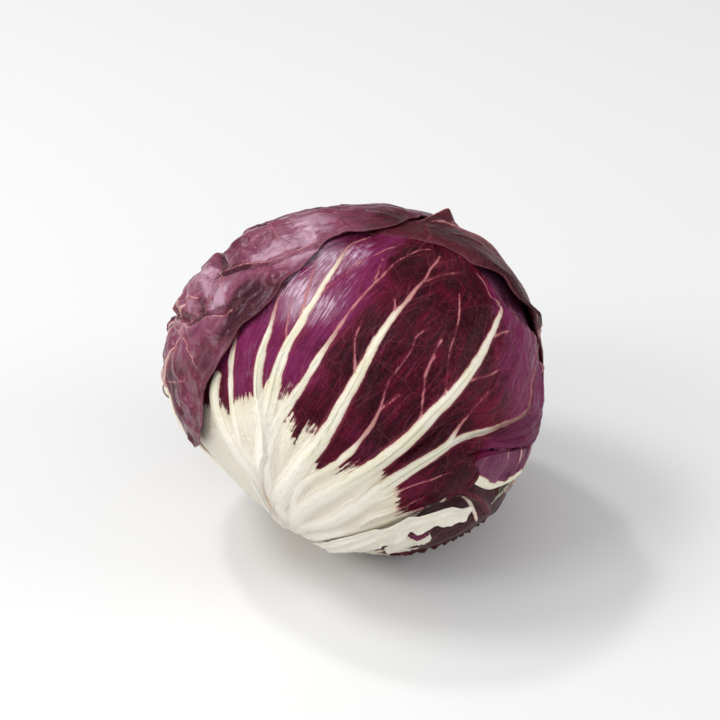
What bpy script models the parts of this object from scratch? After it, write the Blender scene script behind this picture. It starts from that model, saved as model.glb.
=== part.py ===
"""A round radicchio head (Chioggia type), lying on its side.

The head is a stem core with leaves wrapped around it, each leaf a thin closed
solid of its own.  An outer leaf is laid on a rounded shell surface: where older
leaves cover it, it lies deeper by one leaf spacing for each of them, so the
leaves nest without touching.  The inner leaves follow the same shell, drawn in
towards the heart step by step.  The lowest part of the shell is pressed flat,
which gives the head the small flat spot that it rests on.

Units are metres, +Z up, the surface under the head is z = 0.
"""
import math

import bmesh
import bpy
from mathutils import Vector

# ---------------------------------------------------------------- dimensions
HEAD_CENTRE = Vector((0.0, 0.0, 0.0525))   # centre of the round head
STEM_LEAN = 35.8            # stem axis, degrees away from straight down
STEM_HEADING = 216.4        # compass direction the stem end points to
HEAD_RADIUS = 0.0598        # at the widest, across the stem axis
STEM_SHORTEN = 0.0029       # the head is this much shorter along the stem axis
SAG = 0.0014                # and this much lower than wide
STEM_END_TAPER = 0.0016     # stem end is slimmer than the crown by twice this
# soft swellings (+) and hollows (-): angle from the stem end, angle round the
# stem from the upper side, height in metres, width in degrees
SWELLINGS = (
    (69.8, -43.7, 0.0041, 28.0),     # left shoulder under the wrapper leaf
    (18.6, -20.1, -0.0050, 26.0),    # trimmed hollow beside the stem
    (161.4, 159.9, 0.0037, 28.0),    # full crown
    (140.8, -57.7, -0.0016, 26.0),   # flatter top
)
SPACING_OUTER = 0.0019      # from one leaf to the next, outside
SPACING_INNER = 0.0020      # the same among the inner leaves, at SHELL_INSIDE
SHELL_INSIDE = 0.052        # usual radius of the shell under the outer leaves
BLADE_THICKNESS = 0.0010
RIB_BASE_THICKNESS = 0.0012
INNER_THICKNESS = 0.0013
FLOOR_KEEP = 1.0            # leaf spacing kept over the flat spot
CORE_RADIUS = 0.0112        # of the cut stem end
CORE_TOP_RADIUS = 0.0040    # of the core's tip inside the head
CORE_DEPTH = 0.0320         # length of the core from its cut face
CORE_CUT_INSET = 0.0035     # the cut face lies a little inside the leaf bases
LEAF_CLEARANCE = 0.0008     # between a leaf's base and the core
COVER_WIDTH = 36.0          # degrees past a leaf's edge in which the next leaf swells out
INNER_LEAVES = 20
HEART_TO_STEM = 0.0090      # the heart lies this far from the centre, to the stem
HEART_RADIUS = 0.0048       # the closed bud in the middle of the inner leaves
HEART_HALF_LENGTH = 0.0062
GOLDEN_ANGLE = 137.5

# name, angle round the stem, half width, tip angle from the stem end,
# base width share, grid, margin lift, colour (all angles in degrees)
OUTER_LEAVES = (
    ("torn_leaf_base_upper", 89.0, 8.0, 80.0, 0.9, (6, 9), 0.0004, (0.78, 0.74, 0.62)),
    ("torn_leaf_base_lower", 108.0, 7.5, 62.0, 0.9, (6, 7), 0.0004, (0.76, 0.71, 0.60)),
    ("under_leaf", 180.0, 56.0, 150.0, 0.92, (13, 14), 0.0, (0.20, 0.05, 0.09)),
    ("left_wrapper_leaf", -63.0, 63.0, 174.0, 0.80, (13, 14), 0.0010, (0.31, 0.12, 0.17)),
    ("crown_wrapper_leaf", 168.0, 62.0, 200.0, 0.88, (13, 16), 0.0012, (0.16, 0.04, 0.07)),
    ("back_leaf", -128.0, 62.0, 164.0, 0.92, (12, 12), 0.0006, (0.24, 0.07, 0.12)),
    ("front_leaf", 46.0, 76.0, 171.0, 0.92, (14, 14), 0.0004, (0.26, 0.03, 0.10)),
    ("right_leaf", 122.0, 62.0, 168.0, 0.92, (12, 12), 0.0005, (0.26, 0.10, 0.20)),
    ("lower_right_leaf", 140.0, 48.0, 138.0, 0.92, (9, 10), 0.0004, (0.19, 0.05, 0.10)),
)


# ------------------------------------------------------------ head geometry
def unit_from_heading(lean, heading):
    """Unit vector leaning from straight down towards a compass heading."""
    a, h = math.radians(lean), math.radians(heading)
    return Vector((math.sin(a) * math.cos(h), math.sin(a) * math.sin(h), -math.cos(a)))


STEM = unit_from_heading(STEM_LEAN, STEM_HEADING)
UPPER = (Vector((0, 0, 1)) - STEM * STEM.z).normalized()   # uppermost side of the head
SIDE = UPPER.cross(STEM)                                    # towards the front right


def direction(from_stem, around):
    """Unit vector at an angle from the stem end and an angle round it."""
    t, p = math.radians(from_stem), math.radians(around)
    return STEM * math.cos(t) + (UPPER * math.cos(p) + SIDE * math.sin(p)) * math.sin(t)


LUMPS = [(direction(t, p), h, math.radians(w)) for t, p, h, w in SWELLINGS]


def head_radius(d):
    """Distance from the head's centre to its outside, along unit vector d."""
    along = d.dot(STEM)
    r = HEAD_RADIUS - STEM_SHORTEN * along * along - SAG * d.z * d.z - STEM_END_TAPER * along
    for axis, height, width in LUMPS:
        angle = math.acos(max(-1.0, min(1.0, d.dot(axis))))
        r += height * math.exp(-(angle / width) ** 2)
    return r


HEART = HEAD_CENTRE + STEM * HEART_TO_STEM


def shell_point(d, depth):
    """Point at a depth inside the head's outside, pressed flat at the bottom."""
    p = HEAD_CENTRE + d * (head_radius(d) - depth)
    p.z = max(p.z, FLOOR_KEEP * max(depth, 0.0))
    return p


def smooth(x):
    x = max(0.0, min(1.0, x))
    return x * x * (3.0 - 2.0 * x)


def core_radius(depth):
    """Radius of the stem core at a depth inside the stem end."""
    share = max(0.0, min(1.0, depth / (CORE_CUT_INSET + CORE_DEPTH)))
    return CORE_RADIUS + (CORE_TOP_RADIUS - CORE_RADIUS) * share


class Leaf:
    """One leaf: an outline on the head and the leaves that lie over it."""

    def __init__(self, name, around, half_width, tip, base_share, grid, lift,
                 colour, drawn_in, thickness, waves):
        self.name, self.grid, self.lift, self.colour = name, grid, lift, colour
        self.half_width, self.base_share = half_width, base_share
        self.drawn_in, self.thickness, self.waves = drawn_in, thickness, waves
        base = self.base_angle(direction(14.0, around))
        self.half_length = 0.5 * (tip - base)
        self.cell = 2.0 * max(self.half_length / grid[1], half_width / grid[0])
        middle = 0.5 * (tip + base)
        self.centre = direction(middle, around)
        self.up = (self.centre * self.centre.dot(STEM) - STEM).normalized()
        self.right = self.centre.cross(self.up)

    def base_angle(self, near_stem):
        """Angle from the stem end where the leaf's base clears the core."""
        depth = sum(o.cover(near_stem) for o in PLACED) * SPACING_OUTER
        skin = shell_point(near_stem, depth)
        reach = (skin - HEART).length * (1.0 - self.drawn_in)
        core_tip = head_radius(STEM) - CORE_CUT_INSET - CORE_DEPTH - HEART_TO_STEM
        if reach < core_tip - LEAF_CLEARANCE:
            return 13.0
        inside = head_radius(STEM) - HEART_TO_STEM - reach
        sine = (core_radius(inside) + LEAF_CLEARANCE) / reach
        return max(13.0, math.degrees(math.asin(min(0.95, sine))))

    def width_at(self, t):
        """Half width in degrees at t, from -1 at the base to 1 at the tip."""
        low = max(0.0, -t)
        return self.half_width * (1.0 - (1.0 - self.base_share) * low * low)

    def outline(self, x, y):
        """Angles across and along the leaf for a point of the square grid."""
        squeeze = 0.25 if y > 0 else 0.06
        t = y * (1.0 - squeeze * x * x)
        wave = 1.0 + self.waves * math.sin(3.0 * math.atan2(y, x) + self.centre.x * 40.0)
        a = x * (1.0 - (squeeze if y > 0 else 0.15) * y * y) * self.width_at(t) * wave
        return a, t * self.half_length

    def to_direction(self, across, along):
        turn = math.radians(math.hypot(across, along))
        if turn < 1e-9:
            return self.centre.copy()
        way = (self.right * across + self.up * along).normalized()
        return self.centre * math.cos(turn) + way * math.sin(turn)

    def place_in_leaf(self, d):
        """1 on the leaf's outline, and degrees past it (negative inside)."""
        c = max(-1.0, min(1.0, d.dot(self.centre)))
        turn = math.degrees(math.acos(c))
        x, y = d.dot(self.right), d.dot(self.up)
        size = math.hypot(x, y)
        if size < 1e-9:
            return 0.0, -self.half_width
        across, along = turn * x / size, turn * y / size
        t = max(-1.0, min(1.0, along / self.half_length))
        power = 2.4 if along > 0 else 6.0
        q = (abs(across / self.width_at(t)) ** power
             + abs(along / self.half_length) ** power) ** (1.0 / power)
        q /= 1.0 + self.waves
        return q, turn * (1.0 - 1.0 / q) if q > 0.05 else -turn

    def cover(self, d):
        """1 under the leaf, falling to 0 past its edge."""
        q, past = self.place_in_leaf(d)
        return 1.0 - smooth((past - 0.5 * self.cell) / COVER_WIDTH)

    def build(self, over):
        """Mesh of the leaf under the outer leaves listed in over."""
        bm = bmesh.new()
        bmesh.ops.create_grid(bm, x_segments=self.grid[0], y_segments=self.grid[1], size=1.0)
        new = bmesh.ops.extrude_face_region(bm, geom=bm.faces[:])
        for v in new["geom"]:
            if isinstance(v, bmesh.types.BMVert):
                v.co.z = -1.0
        for v in bm.verts:
            across, along = self.outline(v.co.x, v.co.y)
            d = self.to_direction(across, along)
            covers = [o.cover(d) for o in over]
            depth = sum(covers) * SPACING_OUTER
            open_air = math.prod(1.0 - c for c in covers)
            q, _ = self.place_in_leaf(d)
            depth -= self.lift * open_air * smooth((q - 0.80) / 0.20)
            inside, low = v.co.z < -0.5, max(0.0, -v.co.y)
            if self.drawn_in:
                keep = 1.0 - self.drawn_in - inside * self.thickness / SHELL_INSIDE
                v.co = HEART + (shell_point(d, depth) - HEART) * keep
            else:
                rib = (RIB_BASE_THICKNESS - BLADE_THICKNESS) * low * low
                v.co = shell_point(d, depth + inside * (self.thickness + rib))
        bmesh.ops.recalc_face_normals(bm, faces=bm.faces[:])
        if bm.calc_volume(signed=True) < 0:
            bmesh.ops.reverse_faces(bm, faces=bm.faces[:])
        return bm


PLACED = []   # outer leaves so far, the outermost first


# ------------------------------------------------------------------ building
def finish_material(name, colour, roughness):
    m = bpy.data.materials.new(name)
    m.use_nodes = True
    shader = m.node_tree.nodes["Principled BSDF"]
    shader.inputs["Base Color"].default_value = (*colour, 1.0)
    shader.inputs["Roughness"].default_value = roughness
    shader.inputs["Metallic"].default_value = 0.0
    m.diffuse_color = (*colour, 1.0)
    return m


def make_object(name, bm, colour, roughness, parent):
    mesh = bpy.data.meshes.new(name)
    bm.to_mesh(mesh)
    bm.free()
    mesh.shade_smooth()
    mesh.set_sharp_from_angle(angle=math.radians(50))
    mesh.materials.append(finish_material(name + "_finish", colour, roughness))
    obj = bpy.data.objects.new(name, mesh)
    obj.parent = parent
    bpy.context.scene.collection.objects.link(obj)
    return obj


def stem_core(parent):
    """Tapering core: a turned cone on the stem axis, from its cut face inwards."""
    bm = bmesh.new()
    bmesh.ops.create_cone(bm, cap_ends=True, cap_tris=False, segments=20,
                          radius1=CORE_TOP_RADIUS, radius2=CORE_RADIUS, depth=CORE_DEPTH)
    rims = [e for e in bm.edges if all(abs(abs(v.co.z) - CORE_DEPTH / 2) < 1e-6 for v in e.verts)]
    bmesh.ops.bevel(bm, geom=rims, offset=0.0010, segments=1, affect='EDGES', profile=0.5)
    bmesh.ops.recalc_face_normals(bm, faces=bm.faces[:])
    obj = make_object("stem_core", bm, (0.62, 0.50, 0.33), 0.75, parent)
    obj.rotation_mode = 'QUATERNION'
    obj.rotation_quaternion = Vector((0, 0, 1)).rotation_difference(STEM)
    outer_end = head_radius(STEM) - CORE_CUT_INSET
    obj.location = HEAD_CENTRE + STEM * (outer_end - CORE_DEPTH / 2)
    return obj


def inner_leaf_settings(n):
    """Leaves towards the heart get shorter, narrower in the grid and paler."""
    share = n / (INNER_LEAVES - 1)
    cells = round(10.4 - 4.4 * share)
    colour = (0.30 + 0.40 * share, 0.05 + 0.45 * share, 0.10 + 0.34 * share)
    return dict(name=f"inner_leaf_{n + 1:02d}",
                around=25.0 + GOLDEN_ANGLE * (n + 1),
                half_width=64.0 + 4.0 * math.sin(n * 1.7),
                tip=188.0 + 7.0 * math.sin(n * 2.3),
                base_share=0.85, grid=(cells, cells + 2), lift=0.0, colour=colour,
                drawn_in=(n + 1) * SPACING_INNER / SHELL_INSIDE,
                thickness=INNER_THICKNESS, waves=0.03)


def heart_bud(parent):
    """The closed growing tip on the core: an egg with a blunt point at the crown."""
    bm = bmesh.new()
    bmesh.ops.create_uvsphere(bm, u_segments=14, v_segments=10, radius=1.0)
    for v in bm.verts:
        slim = 1.0 - 0.12 * v.co.z
        v.co = Vector((v.co.x * slim * HEART_RADIUS, v.co.y * slim * HEART_RADIUS,
                       v.co.z * HEART_HALF_LENGTH))
    obj = make_object("heart_bud", bm, (0.80, 0.74, 0.52), 0.5, parent)
    obj.rotation_mode = 'QUATERNION'
    obj.rotation_quaternion = Vector((0, 0, -1)).rotation_difference(STEM)
    obj.location = HEART
    return obj


def main():
    for obj in list(bpy.data.objects):
        bpy.data.objects.remove(obj, do_unlink=True)
    root = bpy.data.objects.new("radicchio_head", None)
    bpy.context.scene.collection.objects.link(root)

    stem_core(root)
    heart_bud(root)
    for name, around, width, tip, share, grid, lift, colour in OUTER_LEAVES:
        leaf = Leaf(name, around, width, tip, share, grid, lift, colour,
                    0.0, BLADE_THICKNESS, 0.03)
        make_object(name, leaf.build(PLACED), colour, 0.4, root)
        PLACED.append(leaf)
    for n in range(INNER_LEAVES):
        leaf = Leaf(**inner_leaf_settings(n))
        make_object(leaf.name, leaf.build(PLACED), leaf.colour, 0.45, root)

    bpy.context.view_layer.update()
    corners = [o.matrix_world @ v.co for o in bpy.data.objects if o.type == 'MESH'
               for v in o.data.vertices]
    low = [min(c[i] for c in corners) for i in range(3)]
    high = [max(c[i] for c in corners) for i in range(3)]
    root.location = (-0.5 * (low[0] + high[0]), -0.5 * (low[1] + high[1]), 0.0)


main()
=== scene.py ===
"""Looks of a round radicchio head: every leaf that shows gets a fine closed mesh
with raised ribs, quilted blade and folded margins, and a procedural finish.

All places are given as head angles: degrees from the stem end, and degrees
round the stem axis from its upper side (positive towards the front right).
"""

import math

import bpy
import numpy as np
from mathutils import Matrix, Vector


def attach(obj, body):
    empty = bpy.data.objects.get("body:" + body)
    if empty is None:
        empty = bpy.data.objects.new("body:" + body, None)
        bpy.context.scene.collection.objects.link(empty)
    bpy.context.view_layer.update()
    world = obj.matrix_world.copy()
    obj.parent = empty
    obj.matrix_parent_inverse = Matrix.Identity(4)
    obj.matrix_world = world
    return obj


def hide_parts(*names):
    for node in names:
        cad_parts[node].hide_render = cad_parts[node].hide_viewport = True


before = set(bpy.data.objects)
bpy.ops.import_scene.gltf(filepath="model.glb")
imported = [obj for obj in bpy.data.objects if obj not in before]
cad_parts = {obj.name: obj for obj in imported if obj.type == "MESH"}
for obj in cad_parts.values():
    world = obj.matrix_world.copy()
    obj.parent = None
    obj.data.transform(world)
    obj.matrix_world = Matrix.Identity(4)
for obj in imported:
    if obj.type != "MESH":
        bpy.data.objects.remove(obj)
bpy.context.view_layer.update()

# ------------------------------------------------------------ head geometry
C = np.array([0.000888, -0.000667, 0.0525])          # centre of the head
LEAN, HEADING = math.radians(35.8), math.radians(216.4)
S = np.array([math.sin(LEAN) * math.cos(HEADING), math.sin(LEAN) * math.sin(HEADING), -math.cos(LEAN)])
U = np.array([0.0, 0.0, 1.0]) - S * S[2]
U /= np.linalg.norm(U)
W = np.cross(U, S)
SWELL = ((69.8, -43.7, 0.0041, 28.0), (18.6, -20.1, -0.0050, 26.0),
         (161.4, 159.9, 0.0037, 28.0), (140.8, -57.7, -0.0016, 26.0))
SPACING = 0.0013
BLADE = 0.0009
COVER = 30.0


def direction(t, p):
    t, p = np.radians(np.asarray(t, float)), np.radians(np.asarray(p, float))
    t, p = t[..., None], p[..., None]
    return S * np.cos(t) + (U * np.cos(p) + W * np.sin(p)) * np.sin(t)


def head_angles(D):
    t = np.degrees(np.arccos(np.clip(D @ S, -1, 1)))
    p = np.degrees(np.arctan2(D @ W, D @ U))
    return t, p


def head_radius(D):
    along = D @ S
    r = 0.0598 - 0.0029 * along ** 2 - 0.0014 * D[:, 2] ** 2 - 0.0016 * along
    for t, p, h, w in SWELL:
        a = np.arccos(np.clip(D @ direction(t, p), -1, 1))
        r = r + h * np.exp(-(a / math.radians(w)) ** 2)
    return r


def shell(D, depth, floor):
    """Points at a depth inside the head's outside, never lower than floor."""
    P = C + D * (head_radius(D) - depth)[:, None]
    P[:, 2] = np.maximum(P[:, 2], floor)
    return P


# ------------------------------------------------------------------- noise
def _hash(ix, iy, iz, seed):
    h = (ix.astype(np.int64) * 73856093) ^ (iy.astype(np.int64) * 19349663) ^ (iz.astype(np.int64) * 83492791) ^ (seed * 2654435)
    h = h & 0xFFFFFFFF
    h = ((h ^ (h >> 16)) * 0x45D9F3B) & 0xFFFFFFFF
    h = ((h ^ (h >> 16)) * 0x45D9F3B) & 0xFFFFFFFF
    h = h ^ (h >> 16)
    return (h & 0xFFFFFF) / float(0xFFFFFF)


def noise(P, seed=0):
    """Smooth value noise, about -1 to 1, on an N x 3 array."""
    I = np.floor(P).astype(np.int64)
    F = P - I
    F = F * F * F * (F * (F * 6 - 15) + 10)
    out = np.zeros(len(P))
    for dx in (0, 1):
        wx = F[:, 0] if dx else 1 - F[:, 0]
        for dy in (0, 1):
            wy = F[:, 1] if dy else 1 - F[:, 1]
            for dz in (0, 1):
                wz = F[:, 2] if dz else 1 - F[:, 2]
                out += wx * wy * wz * _hash(I[:, 0] + dx, I[:, 1] + dy, I[:, 2] + dz, seed)
    return out * 2 - 1


def fbm(P, octaves=3, seed=0):
    total, amp, norm = 0.0, 1.0, 0.0
    for k in range(octaves):
        total = total + amp * noise(P * (2 ** k) + 17.3 * k, seed + k)
        norm += amp
        amp *= 0.5
    return total / norm


def cells(P, seed=0):
    """Distances to the nearest and second nearest of scattered points (unit grid)."""
    I = np.floor(P).astype(np.int64)
    f1 = np.full(len(P), 9.0)
    f2 = np.full(len(P), 9.0)
    for dx in (-1, 0, 1):
        for dy in (-1, 0, 1):
            for dz in (-1, 0, 1):
                J = I + np.array([dx, dy, dz])
                Q = np.stack([_hash(J[:, 0], J[:, 1], J[:, 2], seed + s) for s in (1, 2, 3)], 1)
                d = np.linalg.norm(J + Q - P, axis=1)
                f2 = np.minimum(f2, np.maximum(f1, d))
                f1 = np.minimum(f1, d)
    return f1, f2


def smooth(x):
    x = np.clip(x, 0.0, 1.0)
    return x * x * (3 - 2 * x)


def spline(points, step=2.0, closed=False):
    """Smooth path through (from stem, round, extras...) rows, about one point every
    `step` degrees: unit directions, and the extras."""
    P = np.array(points, float)
    Q = np.hstack([direction(P[:, 0], P[:, 1]), P[:, 2:]])
    if closed:
        R, count = np.vstack([Q[-1:], Q, Q[:2]]), len(Q)
    else:
        R, count = np.vstack([2 * Q[0] - Q[1], Q, 2 * Q[-1] - Q[-2]]), len(Q) - 1
    out = []
    for i in range(count):
        a, b, c, d = R[i:i + 4]
        m = max(1, int(round(math.degrees(np.linalg.norm(c[:3] - b[:3])) / step)))
        for k in range(m):
            t = k / m
            out.append(0.5 * (2 * b + (c - a) * t + (2 * a - 5 * b + 4 * c - d) * t * t + (3 * b - a - 3 * c + d) * t ** 3))
    if not closed:
        out.append(Q[-1])
    out = np.array(out)
    out[:, :3] /= np.linalg.norm(out[:, :3], axis=1)[:, None]
    return out[:, :3], out[:, 3:]


# --------------------------------------------------------- design of leaves
FRONT_VEINS = {
    'midrib': [(37.2, 41.7, 4.22), (45.8, 33.5, 3.90), (51.0, 29.7, 3.57), (57.2, 27.6, 3.41), (62.2, 25.8, 3.25), (68.1, 24.4, 3.08), (74.7, 23.0, 2.92), (80.5, 21.6, 2.76), (86.1, 20.2, 2.60), (92.2, 18.4, 2.27), (98.0, 17.2, 1.95), (103.8, 16.8, 1.70), (109.2, 16.0, 1.46), (113.6, 15.6, 1.30), (120.5, 13.6, 1.14), (127.1, 11.6, 0.97), (133.5, 7.9, 0.81), (139.8, 4.2, 0.65), (143.6, 3.1, 0.57), (147.6, 2.2, 0.49)],
    'mid_left': [(105.8, 16.0, 0.81), (110.5, 13.6, 0.65), (115.0, 10.9, 0.49), (120.4, 7.2, 0.32), (127.1, 1.0, 0.19)],
    'mid_right': [(108.1, 16.2, 0.81), (114.6, 15.9, 0.57), (118.6, 15.6, 0.41), (125.9, 17.0, 0.26), (135.0, 17.8, 0.21), (138.7, 19.7, 0.18), (149.5, 21.7, 0.13)],
    'pink_left': [(93.3, 18.5, 0.49), (97.8, 16.9, 0.36), (101.9, 13.6, 0.21), (106.3, 10.9, 0.18), (111.7, 7.3, 0.13)],
    'L1': [(65.7, 25.6, 2.27), (70.6, 23.5, 2.11), (74.6, 21.1, 2.11), (78.5, 18.2, 2.03), (83.2, 15.0, 1.87), (88.7, 12.2, 1.79), (94.3, 10.0, 1.46), (98.8, 8.7, 1.14), (103.1, 6.6, 0.89), (109.1, 2.8, 0.57), (112.7, 1.0, 0.32)],
    'L2': [(43.6, 31.0, 2.27), (55.6, 25.2, 1.95), (60.0, 18.8, 1.79), (64.9, 14.2, 1.62), (70.5, 9.9, 1.46), (75.9, 6.4, 1.30), (80.8, 3.6, 1.14), (85.5, 1.1, 0.97), (90.9, -1.0, 0.81), (94.7, -2.4, 0.49)],
    'L3': [(40.0, 33.4, 2.60), (52.1, 23.6, 2.60), (57.8, 14.3, 2.76), (62.7, 6.7, 2.92), (67.8, 1.1, 2.92), (73.3, -1.6, 2.60), (78.0, -1.5, 1.95)],
    'R1': [(66.4, 26.6, 2.27), (71.3, 26.0, 2.11), (74.7, 26.1, 2.03), (79.5, 26.5, 1.87), (84.7, 27.2, 1.62), (90.5, 27.9, 1.38), (95.4, 28.2, 1.22), (100.7, 28.1, 1.06), (107.7, 28.2, 0.89), (114.3, 28.1, 0.68), (121.0, 28.2, 0.52), (127.8, 28.8, 0.39), (133.3, 29.4, 0.36), (140.5, 29.8, 0.32), (145.8, 31.5, 0.28), (152.5, 34.1, 0.21), (157.0, 40.7, 0.16)],
    'R1a': [(128.7, 28.9, 0.32), (132.2, 27.4, 0.23), (135.5, 25.9, 0.16), (138.9, 24.0, 0.11)],
    'R2': [(49.6, 35.7, 3.25), (60.3, 37.2, 3.08), (69.1, 38.8, 3.00), (77.3, 40.3, 2.76), (84.1, 40.9, 2.44), (90.3, 41.0, 2.19), (96.3, 41.1, 1.95), (102.2, 41.1, 1.70), (109.4, 40.8, 1.46), (115.4, 40.9, 1.22), (122.8, 41.6, 0.97), (129.1, 43.3, 0.81), (134.1, 44.1, 0.65), (139.0, 45.8, 0.55), (144.5, 46.3, 0.42), (149.9, 48.0, 0.32), (155.0, 49.4, 0.21)],
    'R2a': [(101.2, 40.3, 0.81), (103.8, 38.5, 0.55), (106.9, 36.6, 0.36), (110.0, 34.7, 0.23), (113.1, 33.9, 0.16), (116.1, 33.4, 0.11)],
    'R2c': [(123.5, 41.5, 0.49), (125.9, 40.1, 0.29), (127.6, 38.6, 0.16)],
    'R2d': [(138.3, 46.2, 0.32), (142.3, 50.2, 0.23), (146.5, 56.3, 0.18), (150.4, 64.5, 0.13)],
    'R2b': [(60.7, 41.4, 1.62), (66.7, 43.6, 1.46), (71.4, 46.4, 1.38), (76.1, 48.4, 1.22), (81.1, 49.9, 1.06), (86.1, 50.8, 0.89), (90.9, 51.5, 0.73), (94.8, 51.4, 0.57), (97.3, 51.1, 0.39), (102.6, 50.0, 0.23), (107.0, 50.4, 0.18), (111.0, 51.2, 0.15), (115.4, 51.9, 0.11)],
    'R2e': [(95.1, 51.3, 0.42), (98.1, 52.7, 0.29), (102.0, 54.7, 0.15)],
    'R3': [(49.3, 46.2, 3.25), (60.2, 49.5, 3.25), (68.7, 53.1, 3.08), (75.0, 56.0, 3.00), (81.2, 58.9, 2.92), (87.4, 61.4, 2.76), (93.8, 63.7, 2.60), (101.0, 66.2, 2.35), (106.5, 69.0, 2.19), (112.5, 71.9, 1.95), (119.2, 75.2, 1.70), (125.9, 78.5, 1.38), (130.5, 81.2, 1.17), (136.9, 85.9, 1.01), (140.6, 89.9, 0.88), (143.1, 90.3, 0.65), (144.6, 86.5, 0.42), (147.6, 85.1, 0.32), (150.8, 83.7, 0.26), (153.7, 79.5, 0.18)],
    'R3a': [(114.2, 74.2, 0.65), (116.4, 78.2, 0.36), (118.5, 82.7, 0.24), (121.4, 87.1, 0.13)],
    'R3b': [(129.1, 80.7, 0.52), (131.7, 85.2, 0.36), (133.7, 90.4, 0.23), (135.3, 96.5, 0.13)],
    'R3c': [(96.7, 63.5, 0.97), (100.2, 62.8, 0.49), (103.2, 61.6, 0.29), (106.9, 60.6, 0.21), (110.9, 59.4, 0.18), (116.6, 59.9, 0.13)],
    'R3d': [(106.7, 67.9, 0.81), (110.2, 67.1, 0.32), (114.7, 65.7, 0.23), (120.6, 64.3, 0.18), (126.9, 64.9, 0.16), (134.0, 65.0, 0.15), (140.5, 63.9, 0.11)],
    'R4': [(37.4, 51.6, 2.92), (49.0, 58.9, 3.25), (57.8, 61.0, 3.25), (65.5, 62.6, 3.25), (73.2, 64.9, 3.00), (79.6, 67.2, 2.76), (86.2, 70.6, 2.44), (91.8, 74.2, 2.03), (96.6, 77.5, 1.54), (100.3, 82.3, 1.22), (102.7, 87.2, 0.97), (105.4, 92.2, 0.84), (108.1, 98.7, 0.81), (110.8, 104.2, 0.81), (113.5, 107.1, 0.75), (116.2, 108.0, 0.65), (118.6, 107.6, 0.55), (121.4, 109.4, 0.45), (125.2, 112.1, 0.36), (128.9, 116.3, 0.29), (132.8, 123.8, 0.19)],
    'R4a': [(94.9, 75.3, 1.46), (98.2, 75.8, 0.97), (101.2, 76.2, 0.52), (104.5, 77.7, 0.29), (107.5, 79.2, 0.21), (110.8, 81.4, 0.16), (113.8, 83.5, 0.13)],
    'R5': [(65.6, 63.7, 1.62), (70.7, 67.7, 1.14), (75.0, 70.4, 0.73), (78.1, 72.7, 0.49), (81.6, 76.3, 0.32), (84.5, 79.4, 0.23), (87.3, 82.3, 0.13)],
    'R6': [(60.6, 70.3, 1.62), (65.4, 73.9, 1.14), (69.1, 76.2, 0.57), (72.3, 78.1, 0.32), (75.7, 80.2, 0.15)],
    'low': [(41.3, 66.4, 2.92), (49.5, 70.7, 2.92), (56.2, 74.1, 2.60), (62.6, 77.3, 1.95), (67.8, 80.4, 0.97), (71.5, 83.5, 0.49)],
    'v1': [(99.5, 50.3, 0.16), (103.0, 50.1, 0.16), (106.6, 50.3, 0.16), (110.3, 51.2, 0.15), (115.8, 52.1, 0.13), (119.7, 51.7, 0.11), (124.3, 54.8, 0.10)],
    'v2': [(102.1, 62.1, 0.23), (106.3, 60.8, 0.16), (110.1, 59.1, 0.15), (114.0, 59.2, 0.13), (118.0, 59.4, 0.11), (122.4, 60.4, 0.10)],
}
FRONT_CREAM = [(-3.1, 66.2), (1.1, 69.9), (6.9, 70.7), (9.7, 75.9), (13.5, 77.0), (16.6, 79.4), (17.5, 88.6), (17.7, 85.0), (22.4, 85.4), (25.4, 85.4), (29.9, 80.1), (33.9, 75.4), (34.5, 79.3), (37.3, 79.2), (43.8, 70.2), (48.2, 73.3), (53.0, 75.3), (57.6, 79.3), (63.8, 77.2), (67.7, 76.7), (72.0, 72.8), (77.1, 64.8), (82.7, 67.7), (86.7, 75.3)]
EDGE_B = [(47.6, -15.4), (53.5, -6.4), (61.0, -2.9), (66.5, -2.5), (71.8, -2.7), (76.2, -2.3), (79.6, -0.9), (84.3, -0.7), (88.4, -0.5), (91.5, -0.5), (95.6, -0.0), (101.0, 2.8), (106.5, 3.1), (111.5, 1.9), (116.1, 1.5), (120.4, 1.6), (126.5, 0.1), (134.1, -5.1), (140.5, -3.7), (148.0, 1.2)]
EDGE_C = [(148.4, 0.2), (153.4, 10.9), (157.7, 22.3), (160.1, 39.1), (160.4, 63.0), (157.3, 75.4), (155.2, 87.4), (152.5, 97.8), (147.0, 100.4), (142.8, 108.6), (139.5, 121.0)]
EDGE_A_RIGHT = [(156.6, 81.7), (154.3, 86.5), (150.3, 91.3), (143.9, 94.0), (140.8, 98.7), (137.6, 107.7), (133.5, 122.6)]
EDGE_A_LOW = [(121.3, 118.8), (115.1, 123.1), (108.8, 124.4), (101.9, 129.9), (95.9, 128.8), (93.7, 115.0), (89.9, 104.1), (92.7, 90.8), (90.8, 91.7), (88.2, 92.5), (84.2, 91.1), (81.8, 89.0), (77.8, 84.9), (72.9, 82.2), (69.0, 79.3), (64.2, 77.1)]
EDGE_CREASE34 = [(62.7, 60.6), (73.3, 61.9), (79.9, 63.8), (86.7, 65.3), (92.5, 68.3), (100.1, 72.1), (108.1, 77.3), (114.8, 83.6)]
EDGE_SLIT = [(93.5, 83.4), (95.6, 86.4), (97.2, 90.5), (98.4, 96.4), (98.7, 104.9)]
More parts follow.
